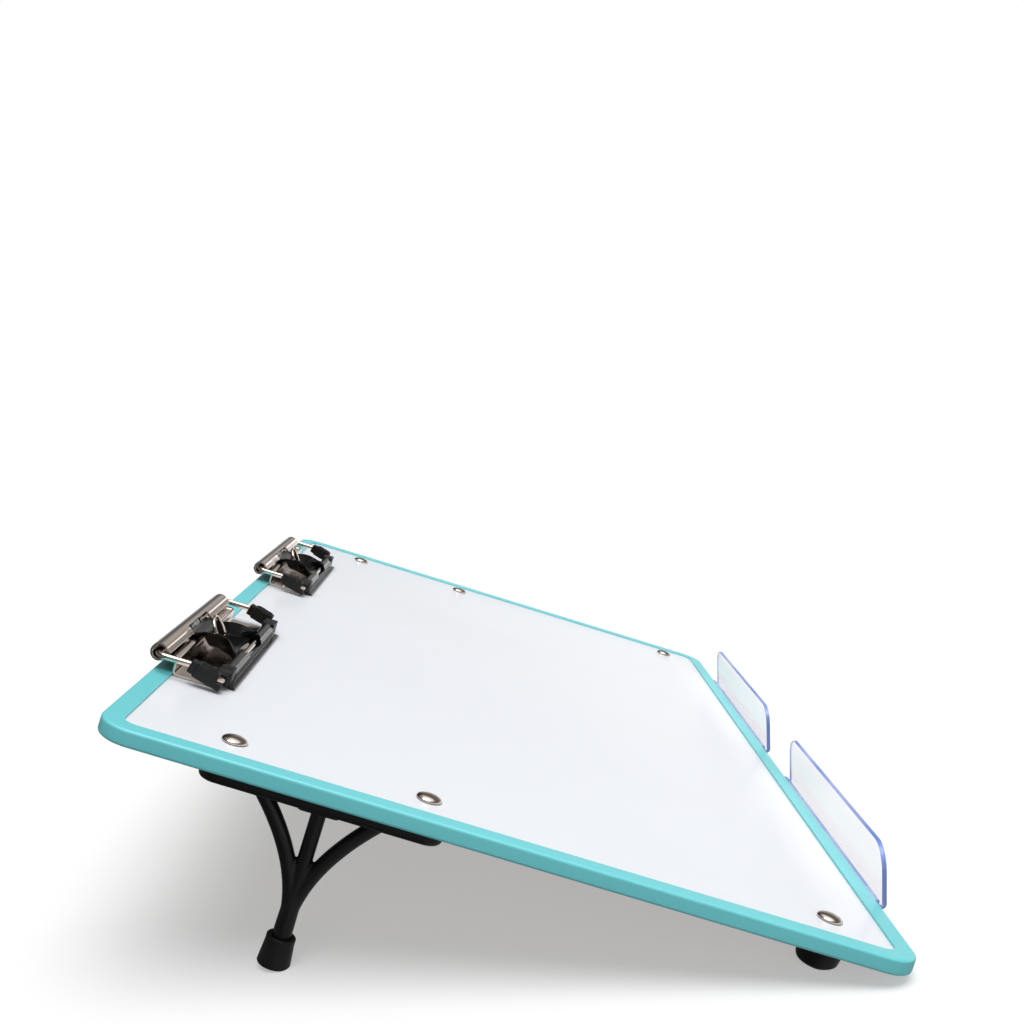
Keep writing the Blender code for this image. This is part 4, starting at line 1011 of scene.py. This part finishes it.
def make_grips():
    """A corner grip: a tall slab on the side of the wire and a stepped sleeve on its front, both ribbed."""
    play = 0.1 * MM
    across, middle = WIRE_OFFSET + play, FRONT_HEIGHT + play
    sleeve_soft, rib_soft, step_rib_soft = millimetres(0.5, 0.16, 0.2)
    slab_rib, sleeve_rib, step_rib = table((0.55, 8.6, 0.8), (8.0, 0.6, 0.6), (0.45, 6.7, 6.9))
    slab_ribs, slab_rib_reach, slab_rib_lift, slab_rib_pitch = 5, 26.0 * MM, 3.75 * MM, 1.15 * MM
    sleeve_ribs, sleeve_rib_x, sleeve_rib_lift, sleeve_rib_pitch = 4, 60.0 * MM, 3.65 * MM, 1.3 * MM
    step_rib_x, step_rib_pitch = 65.6 * MM, 1.0 * MM

    def on_slope(reach, x, lift):
        height = BARREL_HEIGHT - (reach - DROP_REACH) * math.tan(WIRE_SLOPE)
        return clip_spot(reach, height, x) + Vector((0, -math.sin(WIRE_SLOPE), math.cos(WIRE_SLOPE))) * lift

    shapes = []
    # The slab's blocks: reach, lift, width, length, height and softened edge
    for name, *sizes in (("slab", 26.0, 0.0, 6.6, 11.6, 7.4, 0.7),
                         ("slab_neck", 19.6, 0.0, 5.4, 4.4, 6.2, 0.6),
                         ("slab_toe", 32.6, -2.1, 6.2, 4.4, 3.0, 0.6)):
        reach, lift, *size, soft = millimetres(*sizes)
        shapes.append(block(name, on_slope(reach, across, lift), size, WIRE_SLOPE, soft))
    for rib in range(slab_ribs):
        x = across + (rib - (slab_ribs - 1) / 2) * slab_rib_pitch
        place = on_slope(slab_rib_reach, x, slab_rib_lift)
        shapes.append(block("slab_rib", place, slab_rib, WIRE_SLOPE, rib_soft))
    # The sleeve's blocks: inner end, outer end, length along the board's slope and height
    for name, *sizes in (("sleeve", 55.5, 65.0, 7.0, 7.2), ("sleeve_step", 64.6, 69.2, 6.2, 6.4),
                         ("sleeve_collar", 69.0, 70.6, 5.2, 5.4)):
        low, high, deep, tall = millimetres(*sizes)
        shapes.append(block(name, clip_spot(FRONT_REACH, middle, (low + high) / 2),
                            (high - low, deep, tall), 0.0, sleeve_soft))
    for rib in range(sleeve_ribs):
        reach = FRONT_REACH + (rib - (sleeve_ribs - 1) / 2) * sleeve_rib_pitch
        place = clip_spot(reach, middle + sleeve_rib_lift, sleeve_rib_x)
        shapes.append(block("sleeve_rib", place, sleeve_rib, 0.0, rib_soft))
        place = clip_spot(FRONT_REACH, middle, step_rib_x + rib * step_rib_pitch)
        shapes.append(block("step_rib", place, step_rib, 0.0, step_rib_soft))
    grip = join_pieces("grip", shapes)
    polish(grip, 45.0)
    for side_name, side in SIDES:
        for end_name, end in SIDES:
            node = "clip_" + side_name + "_grip_" + end_name
            set_on_board(grip, RUBBER, side_name + "_jaw", [node], node + "_sleeve",
                         (side * CLIP_OFFSET, 0, 0), mirror=end < 0)
    put_away(grip)


def make_hang_rings():
    """The hang ring: a straight bar in the jaw's lugs, closed by a half circle of the same wire."""
    half, corner, straight = 8.6 * MM, 2.0 * MM, 1.6 * MM
    upward = Vector((0, math.sin(RING_LEAN), math.cos(RING_LEAN)))
    axis = Vector((1, 0, 0)).cross(upward)
    wire = Wire("ring", clip_spot(RING_REACH, RING_HEIGHT), (1, 0, 0), RING_WIRE_RADIUS, 16)
    wire.run(half - corner)
    wire.bend(axis, corner, math.pi / 2, 6)
    wire.run(straight)
    wire.bend(axis, half, math.pi, 28)
    wire.run(straight)
    wire.bend(axis, corner, math.pi / 2, 6)
    wire.run(half - corner)
    set_pair(wire.looped(), NICKEL, "{}_hang_ring", ["clip_{}_hang_ring"],
             "clip_{}_hang_ring_wire", CLIP_OFFSET)


def dressed_copy(node, finish, name, soft):
    """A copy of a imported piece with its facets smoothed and, where soft is a size, its edges rounded."""
    made = copy_of(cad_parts[node], name)
    for key in list(made.keys()):
        del made[key]
    made.parent = None
    made.matrix_world = Matrix.Identity(4)
    open_up(made)
    bpy.ops.mesh.remove_doubles(threshold=MERGE_DISTANCE)
    bpy.ops.mesh.dissolve_limited(angle_limit=math.radians(0.5))
    bpy.ops.object.mode_set(mode='OBJECT')
    if soft:
        soften(made, soft, 2, 30.0)
    polish(made, 35.0)
    dress(made, finish)
    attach(made, "board_and_legs")
    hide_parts(node)


def make_springs_and_rivets():
    """The clips' springs and rivets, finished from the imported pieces."""
    rivet_soft = 0.08 * MM
    for side_name, _ in SIDES:
        node = "clip_" + side_name + "_spring"
        dressed_copy(node, STEEL, node + "_coil", 0.0)
        for end_name, _ in SIDES:
            node = "clip_" + side_name + "_rivet_" + end_name
            dressed_copy(node, NICKEL, node + "_head", rivet_soft)


# Ledges

def make_ledges():
    """The ledge: a clear sheet bent up from its flange, with round top corners and polished cut edges."""
    bend, flange_top, shelf_low, soft = 1.6 * MM, 6.2 * MM, 2.0 * MM, 0.3 * MM
    flange_y = -(2 * GAP + TAPE_THICKNESS + LEDGE_THICKNESS / 2)
    shelf_z = shelf_low + LEDGE_THICKNESS / 2
    outer_y = flange_y - LEDGE_THICKNESS - LEDGE_SLOT
    top_z = FACE_TOP + LEDGE_RISE
    top_y = outer_y + (top_z - shelf_z) * math.tan(LEDGE_LEAN)
    turn = math.pi / 2 + LEDGE_LEAN
    cut = bend * math.tan(turn / 2)
    length = (Vector((0, top_y, top_z)) - Vector((0, outer_y, shelf_z))).length
    moves = [(bend, -math.pi / 2), flange_y - bend - outer_y - cut, (bend, -turn), length - cut]
    sheet = bent_sheet("ledge_sheet", LEDGE_LENGTH / 2, (0, flange_y, flange_top),
                       (0, flange_y, shelf_z + bend), moves)
    open_up(sheet)
    choose(sheet, 'VERT', lambda corner: corner.co.z > top_z - LEDGE_THICKNESS / 2)
    round_off(LEDGE_CORNER_RADIUS, 14, 'VERTICES')
    close_shell(sheet)
    sheet.data.materials.append(CLEAR)
    sheet.data.materials.append(CLEAR_EDGE)
    give_thickness(sheet, LEDGE_THICKNESS, soft, material_offset_rim=1)
    set_pair(sheet, None, "board_and_legs", ["ledge_{}"], "ledge_{}_sheet", LEDGE_OFFSET)


# Setting

def dress_nodes():
    """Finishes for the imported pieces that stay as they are."""
    for name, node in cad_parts.items():
        if name == "core_panel":
            dress(node, CORE)
        elif name == "face_sheet":
            dress(node, WHITE)
        elif "tape" in name:
            dress(node, TAPE)


def lay_floor():
    """A plain pale floor."""
    clear_selection()
    bpy.ops.mesh.primitive_plane_add(size=1)
    floor = start_piece("floor", (FLOOR_SIZE, FLOOR_SIZE, 1))
    bpy.ops.object.mode_set(mode='OBJECT')
    paper = bpy.data.materials.new("floor_paper")
    paper.use_nodes = True
    shader = paper.node_tree.nodes["Principled BSDF"]
    shader.inputs["Base Color"].default_value = (FLOOR_TONE, FLOOR_TONE, FLOOR_TONE, 1)
    shader.inputs["Roughness"].default_value = 0.9
    shader.inputs["Specular IOR Level"].default_value = 0.0
    shader.inputs["Emission Color"].default_value = (1.0, 1.0, 1.0, 1)
    shader.inputs["Emission Strength"].default_value = FLOOR_GLOW
    floor.data.materials.append(paper)
    floor.visible_glossy = False
    floor.visible_diffuse = False


def paint_world():
    """A plain white background, and a room for the metal to show, whose brightness changes with height and
    falls off behind the board."""
    world = bpy.data.worlds.new("studio")
    bpy.context.scene.world = world
    world.use_nodes = True
    tree = world.node_tree
    direction = tree.nodes.new('ShaderNodeTexCoord')
    split = tree.nodes.new('ShaderNodeSeparateXYZ')
    height = tree.nodes.new('ShaderNodeMapRange')
    height.inputs["From Min"].default_value = -1.0
    ramp = tree.nodes.new('ShaderNodeValToRGB')
    behind = tree.nodes.new('ShaderNodeMapRange')
    for label, value in ROOM_FALL:
        behind.inputs[label].default_value = value
    tree.links.new(direction.outputs["Generated"], split.inputs["Vector"])
    tree.links.new(split.outputs["Z"], height.inputs["Value"])
    tree.links.new(split.outputs["Y"], behind.inputs["Value"])
    tree.links.new(height.outputs["Result"], ramp.inputs["Fac"])
    room = tree.nodes["Background"]
    tree.links.new(ramp.outputs["Color"], room.inputs["Color"])
    tree.links.new(behind.outputs["Result"], room.inputs["Strength"])
    for place, _ in ROOM_BANDS[2:]:
        ramp.color_ramp.elements.new(place)
    for element, (place, level) in zip(ramp.color_ramp.elements, ROOM_BANDS):
        element.position = place
        element.color = (level, level, level, 1)
    sight = tree.nodes.new('ShaderNodeLightPath')
    seen = tree.nodes.new('ShaderNodeMath')
    seen.operation = 'MAXIMUM'
    tree.links.new(sight.outputs["Is Camera Ray"], seen.inputs[0])
    tree.links.new(sight.outputs["Is Transmission Ray"], seen.inputs[1])
    white = tree.nodes.new('ShaderNodeBackground')
    white.inputs["Color"].default_value = (1.0, 1.0, 1.0, 1.0)
    mix = tree.nodes.new('ShaderNodeMixShader')
    tree.links.new(seen.outputs["Value"], mix.inputs["Fac"])
    tree.links.new(room.outputs["Background"], mix.inputs[1])
    tree.links.new(white.outputs["Background"], mix.inputs[2])
    tree.links.new(mix.outputs["Shader"], tree.nodes["World Output"].inputs["Surface"])


def hang_lights():
    """A wide soft light from above and a fill from the side."""
    for name, lean, spread, strength, shown in LIGHTS:
        clear_selection()
        bpy.ops.object.light_add(type='SUN', location=(0, 0, LIGHT_HEIGHT),
                                 rotation=(0, math.radians(-lean), 0))
        lamp = bpy.context.active_object
        lamp.name = name
        lamp.data.angle = math.radians(spread)
        lamp.data.energy = strength
        lamp.visible_glossy = shown


def place_camera():
    """A camera on the left of the board, a little above it."""
    clear_selection()
    bpy.ops.object.camera_add(location=CAMERA_PLACE, rotation=[math.radians(turn) for turn in CAMERA_DEGREES])
    camera = bpy.context.active_object
    camera.data.sensor_width = CAMERA_SENSOR
    camera.data.lens = CAMERA_LENS
    camera.data.clip_start = CAMERA_NEAREST
    bpy.context.scene.camera = camera
    bpy.context.scene.view_settings.view_transform = 'Standard'


make_edge_trim()
make_screws()
make_leg_plates()
make_leg_frames()
make_leg_caps()
make_front_feet()
make_clip_bases()
make_jaws()
make_bails()
make_grips()
make_hang_rings()
make_ledges()
make_springs_and_rivets()
dress_nodes()
lay_floor()
paint_world()
hang_lights()
place_camera()
